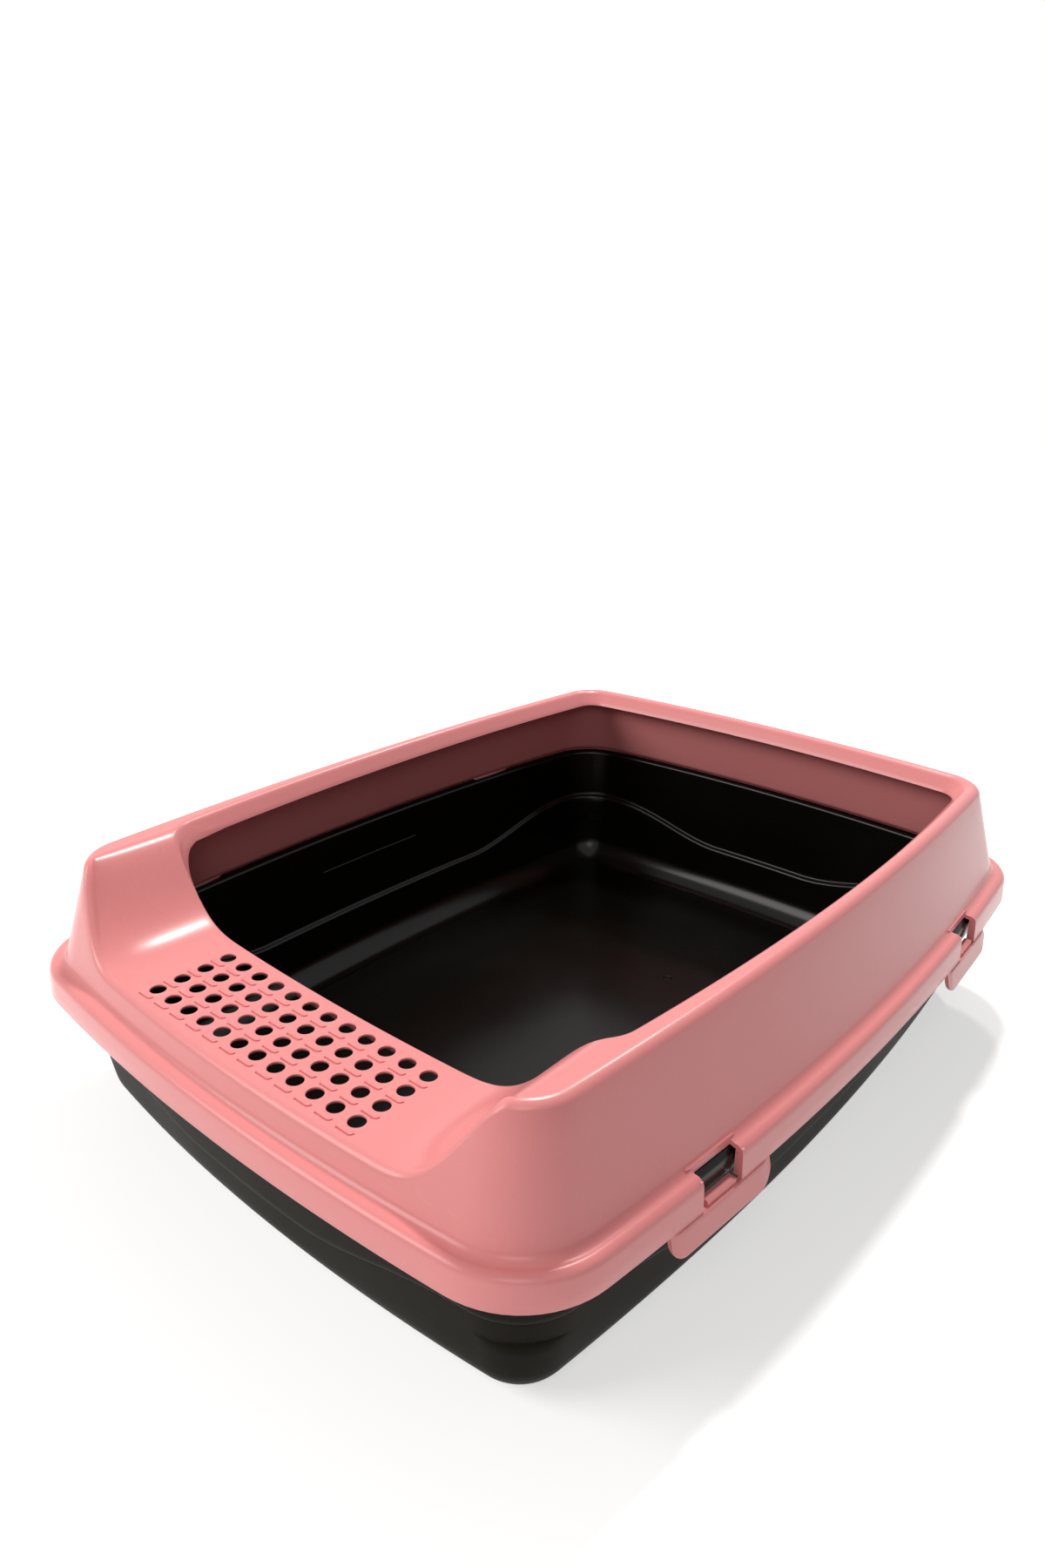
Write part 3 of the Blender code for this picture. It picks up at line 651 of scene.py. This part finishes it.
def skirt_and_fillet():
    """The skirt, its rounded top edge, the shelf, and the fillet at the wall's foot."""
    skirt_top = shelf - SKIRT_EDGE_RADIUS
    rings = [ring(skirt_line, skirt_bottom), ring(skirt_line.inset(SKIRT_DRAFT / 2), (skirt_bottom + skirt_top) / 2)]
    for angle in np.linspace(0, math.pi / 2, FILLET_RINGS):
        inset = SKIRT_DRAFT + SKIRT_EDGE_RADIUS * (1 - math.cos(angle))
        rings.append(ring(skirt_line.inset(inset), skirt_top + SKIRT_EDGE_RADIUS * math.sin(angle)))
    middle = WALL_FOOT_INSET + wall_slope * SHELF_FILLET - SHELF_FILLET / math.cos(wall_angle)
    for share in np.linspace(0, 1, FILLET_RINGS):
        angle = lerp(-math.pi / 2, -wall_angle, share)
        height = shelf + SHELF_FILLET * (1 + math.sin(angle))
        inset = middle + SHELF_FILLET * math.cos(angle)
        on_wall = frame_wall_line(height).inset(inset - WALL_FOOT_INSET - wall_slope * (height - shelf))
        rings.append(ring(skirt_line.inset(inset).towards(on_wall, share), height))
    return rings


def wall_top_heights():
    """The height of the frame's top at each station, read where the leaning wall meets it.

    Where that is depends on the height, so each of four passes comes nearer to it.
    """
    plan = frame_wall_line(step).stations()
    heights = frame_top(plan[:, 0], plan[:, 1])
    for _ in range(4):
        plan = ring_at_heights(frame_wall_line, heights)
        heights = frame_top(plan[:, 0], plan[:, 1])
    return heights


def wall_rings(base):
    """The drafted wall, from its fillet up to where its rounded top edge starts."""
    foot = shelf + SHELF_FILLET * (1 - math.sin(wall_angle))
    return [ring_at_heights(frame_wall_line, lerp(foot, base, share)) for share in (0.2, 0.4, 0.6, 0.8)]


def top_edge_rings(base):
    """The rounded edge between the wall and the top face."""
    rings = []
    for angle in np.linspace(wall_angle, math.pi / 2, EDGE_RINGS):
        inward = TOP_EDGE_RADIUS / math.cos(wall_angle) - TOP_EDGE_RADIUS * math.cos(angle)
        made = ring_at_heights(lambda z, d=inward: frame_wall_line(z).inset(d), base)
        made[:, 2] += TOP_EDGE_RADIUS * math.sin(angle)
        rings.append(made)
    return rings


def facing_stations(edge, outline):
    """The inner outline's stations, moved so that each faces its outer one across the cheek."""
    inner = outline.stations()
    count = len(inner)
    middle = count - FRONT_STEPS // 2
    side_middle = CORNER_STEPS + SIDE_STEPS // 2
    walk = np.arange(middle, count + side_middle + 1) % count
    dense = outline.stations(FINE)
    line = np.concatenate([dense[-FINE * FRONT_STEPS // 2 :], dense[: FINE * side_middle + 1]])
    lengths = np.concatenate([[0], np.cumsum(np.linalg.norm(np.diff(line, axis=0), axis=1))])
    outer = edge[walk]
    outer_lengths = np.concatenate([[0], np.cumsum(np.linalg.norm(np.diff(outer[:, :2], axis=0), axis=1))])
    x = outer[:, 0]
    passed = np.interp(CHEEK_HEAD_OUTER, x, outer_lengths)
    foot, head = np.interp([CHEEK_FOOT_INNER, CHEEK_HEAD_INNER], line[:, 0], lengths)
    climb = (x - CHEEK_FOOT_OUTER) / (CHEEK_HEAD_OUTER - CHEEK_FOOT_OUTER)
    on_cheek = np.interp(lerp(CHEEK_FOOT_INNER, CHEEK_HEAD_INNER, climb), line[:, 0], lengths)
    on_step = np.interp(x * CHEEK_FOOT_INNER / CHEEK_FOOT_OUTER, line[:, 0], lengths)
    on_side = lerp(head, lengths[-1], (outer_lengths - passed) / (outer_lengths[-1] - passed))
    wanted = np.where(climb <= 0, on_step, np.where(climb <= 1, on_cheek, on_side))
    for k, length in zip(walk, wanted):
        found = [np.interp(length, lengths, line[:, 0]), np.interp(length, lengths, line[:, 1])]
        inner[k] = found
        inner[(2 * middle - k) % count] = [-found[0], found[1]]
    return inner


def step_and_crest_rings(edge):
    """The step's, the cheeks' and the crest's top face, from the rounded edge in to the lip."""
    inner = facing_stations(edge, opening_line.inset(-lip_tangent))
    reach = np.linalg.norm(inner - edge[:, :2], axis=1)
    rings = []
    for share in (np.arange(1, STEP_ROWS + 1) / STEP_ROWS) ** ROW_CROWDING:
        plan = lerp(edge[:, :2], inner, share)
        rings.append(np.column_stack([plan, frame_top(plan[:, 0], plan[:, 1], share * reach)]))
    return rings


def lip_rings(edge, top):
    """The lip's rounded edge and its leaning face, hung from the top face."""
    start = opening_line.inset(-lip_tangent)
    whole = lip_tangent + lip_reach
    turns = np.linspace(0, lip_turn, FILLET_RINGS)[1:]
    steps = [(LIP_EDGE_RADIUS * math.sin(turn), LIP_EDGE_RADIUS * (1 - math.cos(turn))) for turn in turns]
    last = steps[-1]
    steps += [(lerp(last[0], whole, share), lerp(last[1], LIP_DEPTH, share)) for share in (0.33, 0.67, 1.0)]
    rings = []
    for inward, drop in steps:
        plan = facing_stations(edge, start.towards(lip_foot_line, inward / whole))
        rings.append(np.column_stack([plan, top[:, 2] - drop]))
    return rings


def frame_skin():
    """The frame's outer skin, from the skirt's lower edge over the crest to the lip's lower edge."""
    base = wall_top_heights() - TOP_EDGE_RADIUS
    rings = skirt_and_fillet() + wall_rings(base) + top_edge_rings(base)
    edge = rings[-1]
    rings += step_and_crest_rings(edge)
    return rings + lip_rings(edge, rings[-1])


pink = moulded_plastic(
    "frame_pink",
    colour=(0.84, 0.292, 0.295),
    deep_colour=(0.82, 0.278, 0.282),
    scuffed_colour=(0.84, 0.33, 0.33),
    roughness=0.25,
    rough_spread=0.03,
    bump=0.10,
    specular=0.34,
)
rim_frame = loft("rim_frame_shell", frame_skin())
rim_frame.data.materials.append(pink)
wall_and_edges(rim_frame, FRAME_WALL, FRAME_EDGE_RADIUS)

# The step's drain holes and grip tabs
# Round holes are moulded through the step on a square pitch, so that litter falls back in, with the
# step thinned round each one from below. In front of each a low tab gives the paws some grip.

HOLE_PITCH = 0.01365
HOLE_COLUMNS = 12
HOLE_ROWS = 4
HOLE_DIAMETER = 0.0082
HOLE_GRID_Y = -LENGTH / 2 + 0.049
HOLE_EDGE = 0.0004
HOLE_LAND = 0.0009
HOLE_RELIEF = 0.0012
HOLE_SIDES = 28
PIN_FOOT = -0.010
PIN_TOP = 0.004
TAB_LEFT = -0.0047
TAB_RIGHT = 0.0049
TAB_FRONT = -0.0079
TAB_REAR = -0.0046
TAB_SINK = 0.0001
TAB_HEIGHT = 0.0005
TAB_CORNER = 0.0014
# Each pair is how far the tab's side stands out and how far it lies below the tab's top.
TAB_EDGE = ((0.0001, 0.0002), (0.0, 0.00005), (-0.00015, 0.0))
TAB_FOOT_OUT = 0.0003
TAB_FOOT = -0.0008
GROOVE_WIDTH = 0.0007
GROOVE_END = TAB_REAR - 0.0012
GROOVE_OPEN = 0.001


def hole_pin():
    """The pin that forms one hole: wider below the thin land, and flared at the step's face for a round edge."""
    radius = HOLE_DIAMETER / 2
    relief = radius + HOLE_RELIEF
    profile = [(relief, PIN_FOOT), (relief, -HOLE_LAND - HOLE_RELIEF), (radius, -HOLE_LAND)]
    for angle in np.linspace(0, math.pi / 2, 4):
        profile.append((radius + HOLE_EDGE * (1 - math.cos(angle)), HOLE_EDGE * (math.sin(angle) - 1)))
    profile.append((radius + HOLE_EDGE, PIN_TOP))
    turns = np.arange(HOLE_SIDES) * 2 * math.pi / HOLE_SIDES
    work = bmesh.new()
    join_rows(work, [[work.verts.new((r * math.cos(t), r * math.sin(t), z)) for t in turns] for r, z in profile])
    tab_groove(work)
    return plain_object("hole_pin", work)


def tab_plan(outset):
    """The tab seen from above: open to the rear, with two rounded front corners."""
    left, right = TAB_LEFT - outset, TAB_RIGHT + outset
    front, corner = TAB_FRONT - outset, TAB_CORNER + outset
    turns = np.linspace(0, math.pi / 2, 6)
    bend = [(corner * (1 - math.sin(turn)), front + corner * (1 - math.cos(turn))) for turn in turns]
    points = [(left, TAB_REAR)] + [(left + x, y) for x, y in reversed(bend)]
    return points + [(right - x, y) for x, y in bend] + [(right, TAB_REAR)]


def tab_wedge():
    """One grip tab: highest along its front edge, and sinking into the step's face towards its hole."""
    work = bmesh.new()
    rows = [[work.verts.new((x, y, TAB_FOOT)) for x, y in tab_plan(TAB_FOOT_OUT)]]
    for outset, drop in TAB_EDGE:
        row = []
        for x, y in tab_plan(outset):
            top = lerp(-TAB_SINK, TAB_HEIGHT, (TAB_REAR - y) / (TAB_REAR - TAB_FRONT))
            row.append(work.verts.new((x, y, top - drop)))
        rows.append(row)
    join_rows(work, rows)
    return plain_object("tab_wedge", work)


def tab_groove(work):
    """A fine groove along the foot of the tab's front and right faces, cut with the hole."""
    path = [point for point in tab_plan(GROOVE_WIDTH / 2)[1:-1] if point[0] > TAB_LEFT + TAB_CORNER / 2]
    path.append((path[-1][0], GROOVE_END))
    rows = []
    for number, point in enumerate(path):
        ahead = np.subtract(path[min(number + 1, len(path) - 1)], path[max(number - 1, 0)])
        across = np.array([ahead[1], -ahead[0]]) / np.linalg.norm(ahead) * GROOVE_WIDTH / 2
        outer, inner = point + across, point - across
        section = ((outer, GROOVE_OPEN), (outer, 0.0), (point, -GROOVE_WIDTH), (inner, 0.0), (inner, GROOVE_OPEN))
        rows.append([work.verts.new((*place, z)) for place, z in section])
    join_rows(work, rows)


def perforation_tree(material):
    """At every point of a grid takes a cutter out of the piece and adds a raised tab to it."""
    tree = bpy.data.node_groups.new("perforated step", "GeometryNodeTree")
    face = tree.interface
    face.new_socket("Geometry", in_out="OUTPUT", socket_type="NodeSocketGeometry")
    face.new_socket("Geometry", in_out="INPUT", socket_type="NodeSocketGeometry")
    for name in ("Cutter", "Tab"):
        face.new_socket(name, in_out="INPUT", socket_type="NodeSocketObject")
    for name in ("Columns", "Rows"):
        face.new_socket(name, in_out="INPUT", socket_type="NodeSocketInt")
    face.new_socket("Pitch", in_out="INPUT", socket_type="NodeSocketFloat")
    face.new_socket("Grid Centre", in_out="INPUT", socket_type="NodeSocketVector")
    nodes, links = tree.nodes, tree.links
    inputs, outputs = nodes.new("NodeGroupInput").outputs, nodes.new("NodeGroupOutput").inputs
    grid = nodes.new("GeometryNodeMeshGrid")
    for count, size, vertices in (("Columns", "Size X", "Vertices X"), ("Rows", "Size Y", "Vertices Y")):
        gaps = worked_out(nodes, links, "SUBTRACT", inputs[count], 1.0)
        links.new(worked_out(nodes, links, "MULTIPLY", gaps, inputs["Pitch"]), grid.inputs[size])
        links.new(inputs[count], grid.inputs[vertices])
    moved = nodes.new("GeometryNodeTransform")
    links.new(grid.outputs["Mesh"], moved.inputs["Geometry"])
    links.new(inputs["Grid Centre"], moved.inputs["Translation"])
    shaped = inputs["Geometry"]
    for name, operation, base in (("Tab", "UNION", "Mesh 2"), ("Cutter", "DIFFERENCE", "Mesh 1")):
        pattern = nodes.new("GeometryNodeObjectInfo")
        links.new(inputs[name], pattern.inputs["Object"])
        repeated = nodes.new("GeometryNodeInstanceOnPoints")
        links.new(moved.outputs["Geometry"], repeated.inputs["Points"])
        links.new(pattern.outputs["Geometry"], repeated.inputs["Instance"])
        solid = nodes.new("GeometryNodeRealizeInstances")
        links.new(repeated.outputs["Instances"], solid.inputs["Geometry"])
        change = nodes.new("GeometryNodeMeshBoolean")
        change.operation = operation
        change.solver = "MANIFOLD"
        links.new(shaped, change.inputs[base])
        links.new(solid.outputs["Geometry"], change.inputs["Mesh 2"])
        shaped = change.outputs["Mesh"]
    plain = nodes.new("GeometryNodeRealizeInstances")
    links.new(shaped, plain.inputs["Geometry"])
    finish = nodes.new("GeometryNodeSetMaterial")
    finish.inputs["Material"].default_value = material
    links.new(plain.outputs["Geometry"], finish.inputs["Geometry"])
    links.new(finish.outputs["Geometry"], outputs["Geometry"])
    return tree


perforation = perforation_tree(pink)
sockets = {item.name: item.identifier for item in perforation.interface.items_tree if item.in_out == "INPUT"}
pin, tab = hole_pin(), tab_wedge()
cutters += [pin, tab]
step_holes = rim_frame.modifiers.new("drain holes", "NODES")
step_holes.node_group = perforation
step_holes[sockets["Cutter"]] = pin
step_holes[sockets["Tab"]] = tab
step_holes[sockets["Columns"]] = HOLE_COLUMNS
step_holes[sockets["Rows"]] = HOLE_ROWS
step_holes[sockets["Pitch"]] = HOLE_PITCH
step_holes[sockets["Grid Centre"]] = (0, HOLE_GRID_Y, step)

# The snap clips
# Two on each long side, moulded in one with the frame. The skirt carries on down as a flap that
# kicks out for the fingers, and in the window above it a lug hooks under the tray's rim.

CLIP_FRONT_Y = -0.139
CLIP_REAR_Y = 0.132
CUT_MARGIN = 0.010
WINDOW_WIDTH = 0.027
WINDOW_INSET = 0.0078
NOTCH_INSET = 0.0045
LUG_WIDTH = 0.020
LUG_HEIGHT = 0.0022
LUG_OUTER_INSET = 0.0006
LUG_STEM = 0.0020
LUG_ROOT = -0.0018
LUG_BEVEL = 0.0004
TONGUE_TOP = 0.0115
TONGUE_HEIGHTS = (TONGUE_TOP, 0.0100, 0.0085, 0.0070, 0.0055, 0.0040, 0.0025, 0.0010, 0.0)
FLAP_WIDTH = 0.069
FLAP_DEPTH = 0.0130
FLAP_CORNER = 0.0090
FLAP_FLARE = 0.0023
FLAP_EDGE = 0.0005
FLAP_EDGE_POINTS = 4
FLAP_THINNING = 0.0010
FLAP_NOSE = 0.00065
NOSE_END = 0.0335
NOSE_FADE = 0.005
# Each pair is a share of the flap's depth and the share of the nose that stands out there.
FLAP_PROFILE = ((0.015, 0.05), (0.03, 0.8), (0.05, 1.0), (0.2, 0.9), (0.4, 0.8), (0.6, 0.7), (0.8, 0.6), (0.95, 0.5))
RIB_WIDTH = 0.0015
RIB_INNER_INSET = 0.0046
RIB_OUTER_INSET = 0.0012
RIB_FOOT = 0.0005
RIB_CLEAR = 0.00015
RIB_PART = 0.0001
RIB_ROOT = 0.0011
PAD_INNER_INSET = 0.0091
PAD_HEIGHT = 0.0042

half_length = LENGTH / 2
side_radius = (half_length**2 + SIDE_BOW**2) / (2 * SIDE_BOW)


def clip_place(side, y):
    """Where a clip sits on the skirt's lower edge: x points out of the skirt and y runs along it."""
    lean = math.asin(y / side_radius)
    x = WIDTH / 2 - side_radius * (1 - math.cos(lean))
    turn = lean if side > 0 else math.pi - lean
    return Matrix.Translation((side * x, y, skirt_bottom)) @ Matrix.Rotation(turn, 4, "Z")


def add_box(work, low, high, place):
    """Adds a block between two corners that are given in a clip's own frame."""
    size = Vector(high) - Vector(low)
    middle = (Vector(high) + Vector(low)) / 2
    bmesh.ops.create_cube(work, size=1.0, matrix=place @ Matrix.Translation(middle) @ Matrix.Diagonal((*size, 1)))


def box_object(name, low, high, place):
    work = bmesh.new()
    add_box(work, low, high, place)
    return plain_object(name, work)


def flap_columns():
    """Places along the flap and how far down it reaches there, round at both lower corners."""
    half = FLAP_WIDTH / 2
    flat = [(y, FLAP_DEPTH) for y in np.linspace(0, half - FLAP_CORNER, 12)]
    corner = []
    for angle in np.linspace(0, math.pi / 2, 9)[1:]:
        corner.append((half - FLAP_CORNER * (1 - math.sin(angle)), FLAP_DEPTH - FLAP_CORNER * (1 - math.cos(angle))))
    right = flat + corner
    return [(-y, depth) for y, depth in reversed(right[1:])] + right


def tongue_face(y, depth):
    """The outer face of the skirt and flap at one place along it, from top to bottom."""
    sag = y**2 / (2 * side_radius)
    bulge = FLAP_NOSE * smoothstep((NOSE_END - abs(y)) / NOSE_FADE)
    points = [(-sag - SKIRT_DRAFT * z / TONGUE_TOP, z) for z in TONGUE_HEIGHTS]
    for share, nose in FLAP_PROFILE:
        flare = FLAP_FLARE * depth * share / FLAP_DEPTH
        points.append((-sag * (1 - share) + flare + bulge * nose, -depth * share))
    x = points[-1][0] + FLAP_FLARE * ((1 - FLAP_PROFILE[-1][0]) * depth - FLAP_EDGE) / FLAP_DEPTH
    for angle in np.linspace(0, math.pi / 2, FLAP_EDGE_POINTS):
        points.append((x - FLAP_EDGE * (1 - math.cos(angle)), -depth + FLAP_EDGE * (1 - math.sin(angle))))
    return points


def tongue_mesh(name):
    """The flexing part of the skirt with its flap, as one closed body in the clip's own frame."""
    work = bmesh.new()
    columns = []
    for y, depth in flap_columns():
        outer = tongue_face(y, depth)
        inner = [(x - FRAME_WALL, z) for x, z in outer[:-FLAP_EDGE_POINTS]]
        inner.append((outer[-1][0] - FRAME_WALL + FLAP_THINNING, -depth))
        columns.append([work.verts.new((x, y, z)) for x, z in outer + list(reversed(inner))])
    join_rows(work, columns)
    return plain_object(name, work)


def clip_lug(name):
    """The hook that stands in the window: a low block whose nose points in under the tray's rim."""
    top = rim_top - RIM_DROP - SEAT_GAP - skirt_bottom
    tip = -(RIM_INSET - SEAT_GAP)
    outside = -LUG_OUTER_INSET
    section = [(outside, LUG_ROOT), (outside, top - LUG_BEVEL), (outside - LUG_BEVEL, top), (tip, top)]
    section += [(tip, top - LUG_HEIGHT), (outside - LUG_STEM, top - LUG_HEIGHT), (outside - LUG_STEM, LUG_ROOT)]
    work = bmesh.new()
    join_rows(work, [[work.verts.new((x, y, z)) for x, z in section] for y in (-LUG_WIDTH / 2, LUG_WIDTH / 2)])
    return plain_object(name, work)


clip_places = {
    "front_right_clip": clip_place(1, CLIP_FRONT_Y),
    "rear_right_clip": clip_place(1, CLIP_REAR_Y),
    "front_left_clip": clip_place(-1, CLIP_FRONT_Y),
    "rear_left_clip": clip_place(-1, CLIP_REAR_Y),
}
window_end = WINDOW_WIDTH / 2
window_low = (-WINDOW_INSET, -window_end)
window_high = (CUT_MARGIN, window_end)
window_top = shelf + SHELF_FILLET / 2 - skirt_bottom
rib_start = window_end + RIB_CLEAR
rib_spans = ((-rib_start - RIB_WIDTH, -rib_start), (rib_start, rib_start + RIB_WIDTH))
shelf_underside = shelf - FRAME_WALL - skirt_bottom
rib_top = shelf_underside + RIB_ROOT
pad_low = (-PAD_INNER_INSET, -window_end - 2 * RIB_WIDTH, shelf_underside)
pad_high = (-WINDOW_INSET - RIB_PART, window_end + 2 * RIB_WIDTH, shelf_underside + PAD_HEIGHT)
notch_low = (-NOTCH_INSET, -FLAP_WIDTH / 2, -CUT_MARGIN)
notch_high = (CUT_MARGIN, FLAP_WIDTH / 2, TONGUE_TOP)
stiffeners = bmesh.new()
for clip_name, place in clip_places.items():
    window = box_object(clip_name + "_window", (*window_low, -CUT_MARGIN), (*window_high, window_top), place)
    shape_with(rim_frame, window)
    shape_with(rim_frame, box_object(clip_name + "_notch", notch_low, notch_high, place))
    for low_y, high_y in rib_spans:
        rib_low = (-RIB_INNER_INSET, low_y, TONGUE_TOP + 2 * RIB_PART)
        add_box(stiffeners, rib_low, (-RIB_OUTER_INSET, high_y, rib_top), place)
    add_box(stiffeners, pad_low, pad_high, place)

# The frame is finished here, because its clip windows are cut last.
shape_with(rim_frame, plain_object("stiffeners", stiffeners), "UNION")
settle(rim_frame)
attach(rim_frame, "rim_frame")
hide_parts("rim_frame")

for clip_name, place in clip_places.items():
    tongue = tongue_mesh(clip_name + "_tongue")
    tongue.data.materials.append(pink)
    slot_high = (*window_high, TONGUE_TOP + CUT_MARGIN)
    shape_with(tongue, box_object("slot", (*window_low, 0.0), slot_high, Matrix.Identity(4)))
    ribs = bmesh.new()
    for low_y, high_y in rib_spans:
        rib_high = (-RIB_OUTER_INSET, high_y, TONGUE_TOP - RIB_PART)
        add_box(ribs, (-RIB_INNER_INSET, low_y, RIB_FOOT), rib_high, Matrix.Identity(4))
    shape_with(tongue, plain_object("ribs", ribs), "UNION")
    shape_with(tongue, clip_lug(clip_name + "_lug"), "UNION")
    settle(tongue)
    tongue.data.transform(place)
    x, y, z = place.translation
    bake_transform(tongue)
    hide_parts(clip_name)

# The bodies that cut the pieces and joined them are done with.
for cutter in cutters:
    bpy.data.objects.remove(cutter, do_unlink=True)

# The room
# A matt floor under soft studio lamps, with a white surround, and a camera with a phone's wide lens,
# close to the front right corner and looking down over the tray.

FLOOR_RADIUS = 6.0
FLOOR_TONE = 0.88
FLOOR_FADE_START = 0.25
FLOOR_FADE_END = 0.75
FLOOR_LIFT = 0.55
ROOM_LIGHT = 0.14
LAMP_COLOUR = (1.0, 0.97, 0.93)
LAMP_TARGET = Vector((0.0, 0.0, 0.1))


def seen_directly(nodes, links):
    """A value that is 1 for rays from the camera, mirrored rays and rays through clear things."""
    path = nodes.new("ShaderNodeLightPath").outputs
    seen = worked_out(nodes, links, "MAXIMUM", path["Is Camera Ray"], path["Is Glossy Ray"])
    return worked_out(nodes, links, "MAXIMUM", seen, path["Is Transmission Ray"])


def pale_floor():
    """A matt floor that takes the tray's shadow, and fades to plain white farther out."""
    work = bmesh.new()
    bmesh.ops.create_circle(work, cap_ends=True, segments=64, radius=FLOOR_RADIUS)
    made = plain_object("floor", work)
    material = bpy.data.materials.new("floor_white")
    material.use_nodes = True
    nodes, links = material.node_tree.nodes, material.node_tree.links
    shader = nodes["Principled BSDF"].inputs
    shader["Base Color"].default_value = (FLOOR_TONE, FLOOR_TONE, FLOOR_TONE, 1.0)
    shader["Roughness"].default_value = 0.9
    shader["Specular IOR Level"].default_value = 0.0
    distance = nodes.new("ShaderNodeVectorMath")
    distance.operation = "LENGTH"
    links.new(nodes.new("ShaderNodeTexCoord").outputs["Object"], distance.inputs[0])
    fade = nodes.new("ShaderNodeMapRange")
    fade.interpolation_type = "SMOOTHSTEP"
    fade.inputs["From Min"].default_value = FLOOR_FADE_START
    fade.inputs["From Max"].default_value = FLOOR_FADE_END
    fade.inputs["To Min"].default_value = FLOOR_LIFT
    links.new(distance.outputs["Value"], fade.inputs["Value"])
    lift = worked_out(nodes, links, "MULTIPLY", seen_directly(nodes, links), fade.outputs["Result"])
    shader["Emission Color"].default_value = (1.0, 1.0, 1.0, 1.0)
    links.new(lift, shader["Emission Strength"])
    made.data.materials.append(material)


def white_surround():
    """White wherever it is seen or mirrored, and a soft, even room light for everything else."""
    world = bpy.data.worlds.new("surround")
    world.use_nodes = True
    bpy.context.scene.world = world
    nodes, links = world.node_tree.nodes, world.node_tree.links
    background = nodes["Background"].inputs
    background["Color"].default_value = (1.0, 1.0, 1.0, 1.0)
    strength = nodes.new("ShaderNodeMapRange")
    strength.inputs["To Min"].default_value = ROOM_LIGHT
    strength.inputs["To Max"].default_value = 1.0
    links.new(seen_directly(nodes, links), strength.inputs["Value"])
    links.new(strength.outputs["Result"], background["Strength"])


def soft_lamp(name, place, size, power):
    """A round soft lamp that faces the tray."""
    data = bpy.data.lights.new(name, "AREA")
    data.shape = "DISK"
    data.size = size
    data.energy = power
    data.color = LAMP_COLOUR
    lamp = bpy.data.objects.new(name, data)
    lamp.location = place
    lamp.rotation_euler = (LAMP_TARGET - Vector(place)).to_track_quat("-Z", "Y").to_euler()
    bpy.context.scene.collection.objects.link(lamp)


pale_floor()
white_surround()
soft_lamp("ceiling lamp", (-0.33, 0.66, 1.98), 0.25, 26.0)
soft_lamp("rear ceiling lamp", (-0.45, 1.36, 1.81), 0.16, 9.0)
soft_lamp("front left window", (-1.0, -1.6, 1.25), 1.2, 23.0)
soft_lamp("lamp behind the camera", (0.60, -0.80, 0.80), 0.5, 1.9)

camera_data = bpy.data.cameras.new("phone")
camera_data.sensor_fit = "AUTO"
camera_data.sensor_width = 36.0
camera_data.lens = 24.8011
camera_data.clip_start = 0.01
camera = bpy.data.objects.new("phone", camera_data)
camera.location = (0.36429, -0.46283, 0.40060)
camera.rotation_euler = [math.radians(angle) for angle in (68.8096, -0.5959, 41.2682)]
bpy.context.scene.collection.objects.link(camera)
bpy.context.scene.camera = camera
bpy.context.scene.view_settings.view_transform = "Standard"
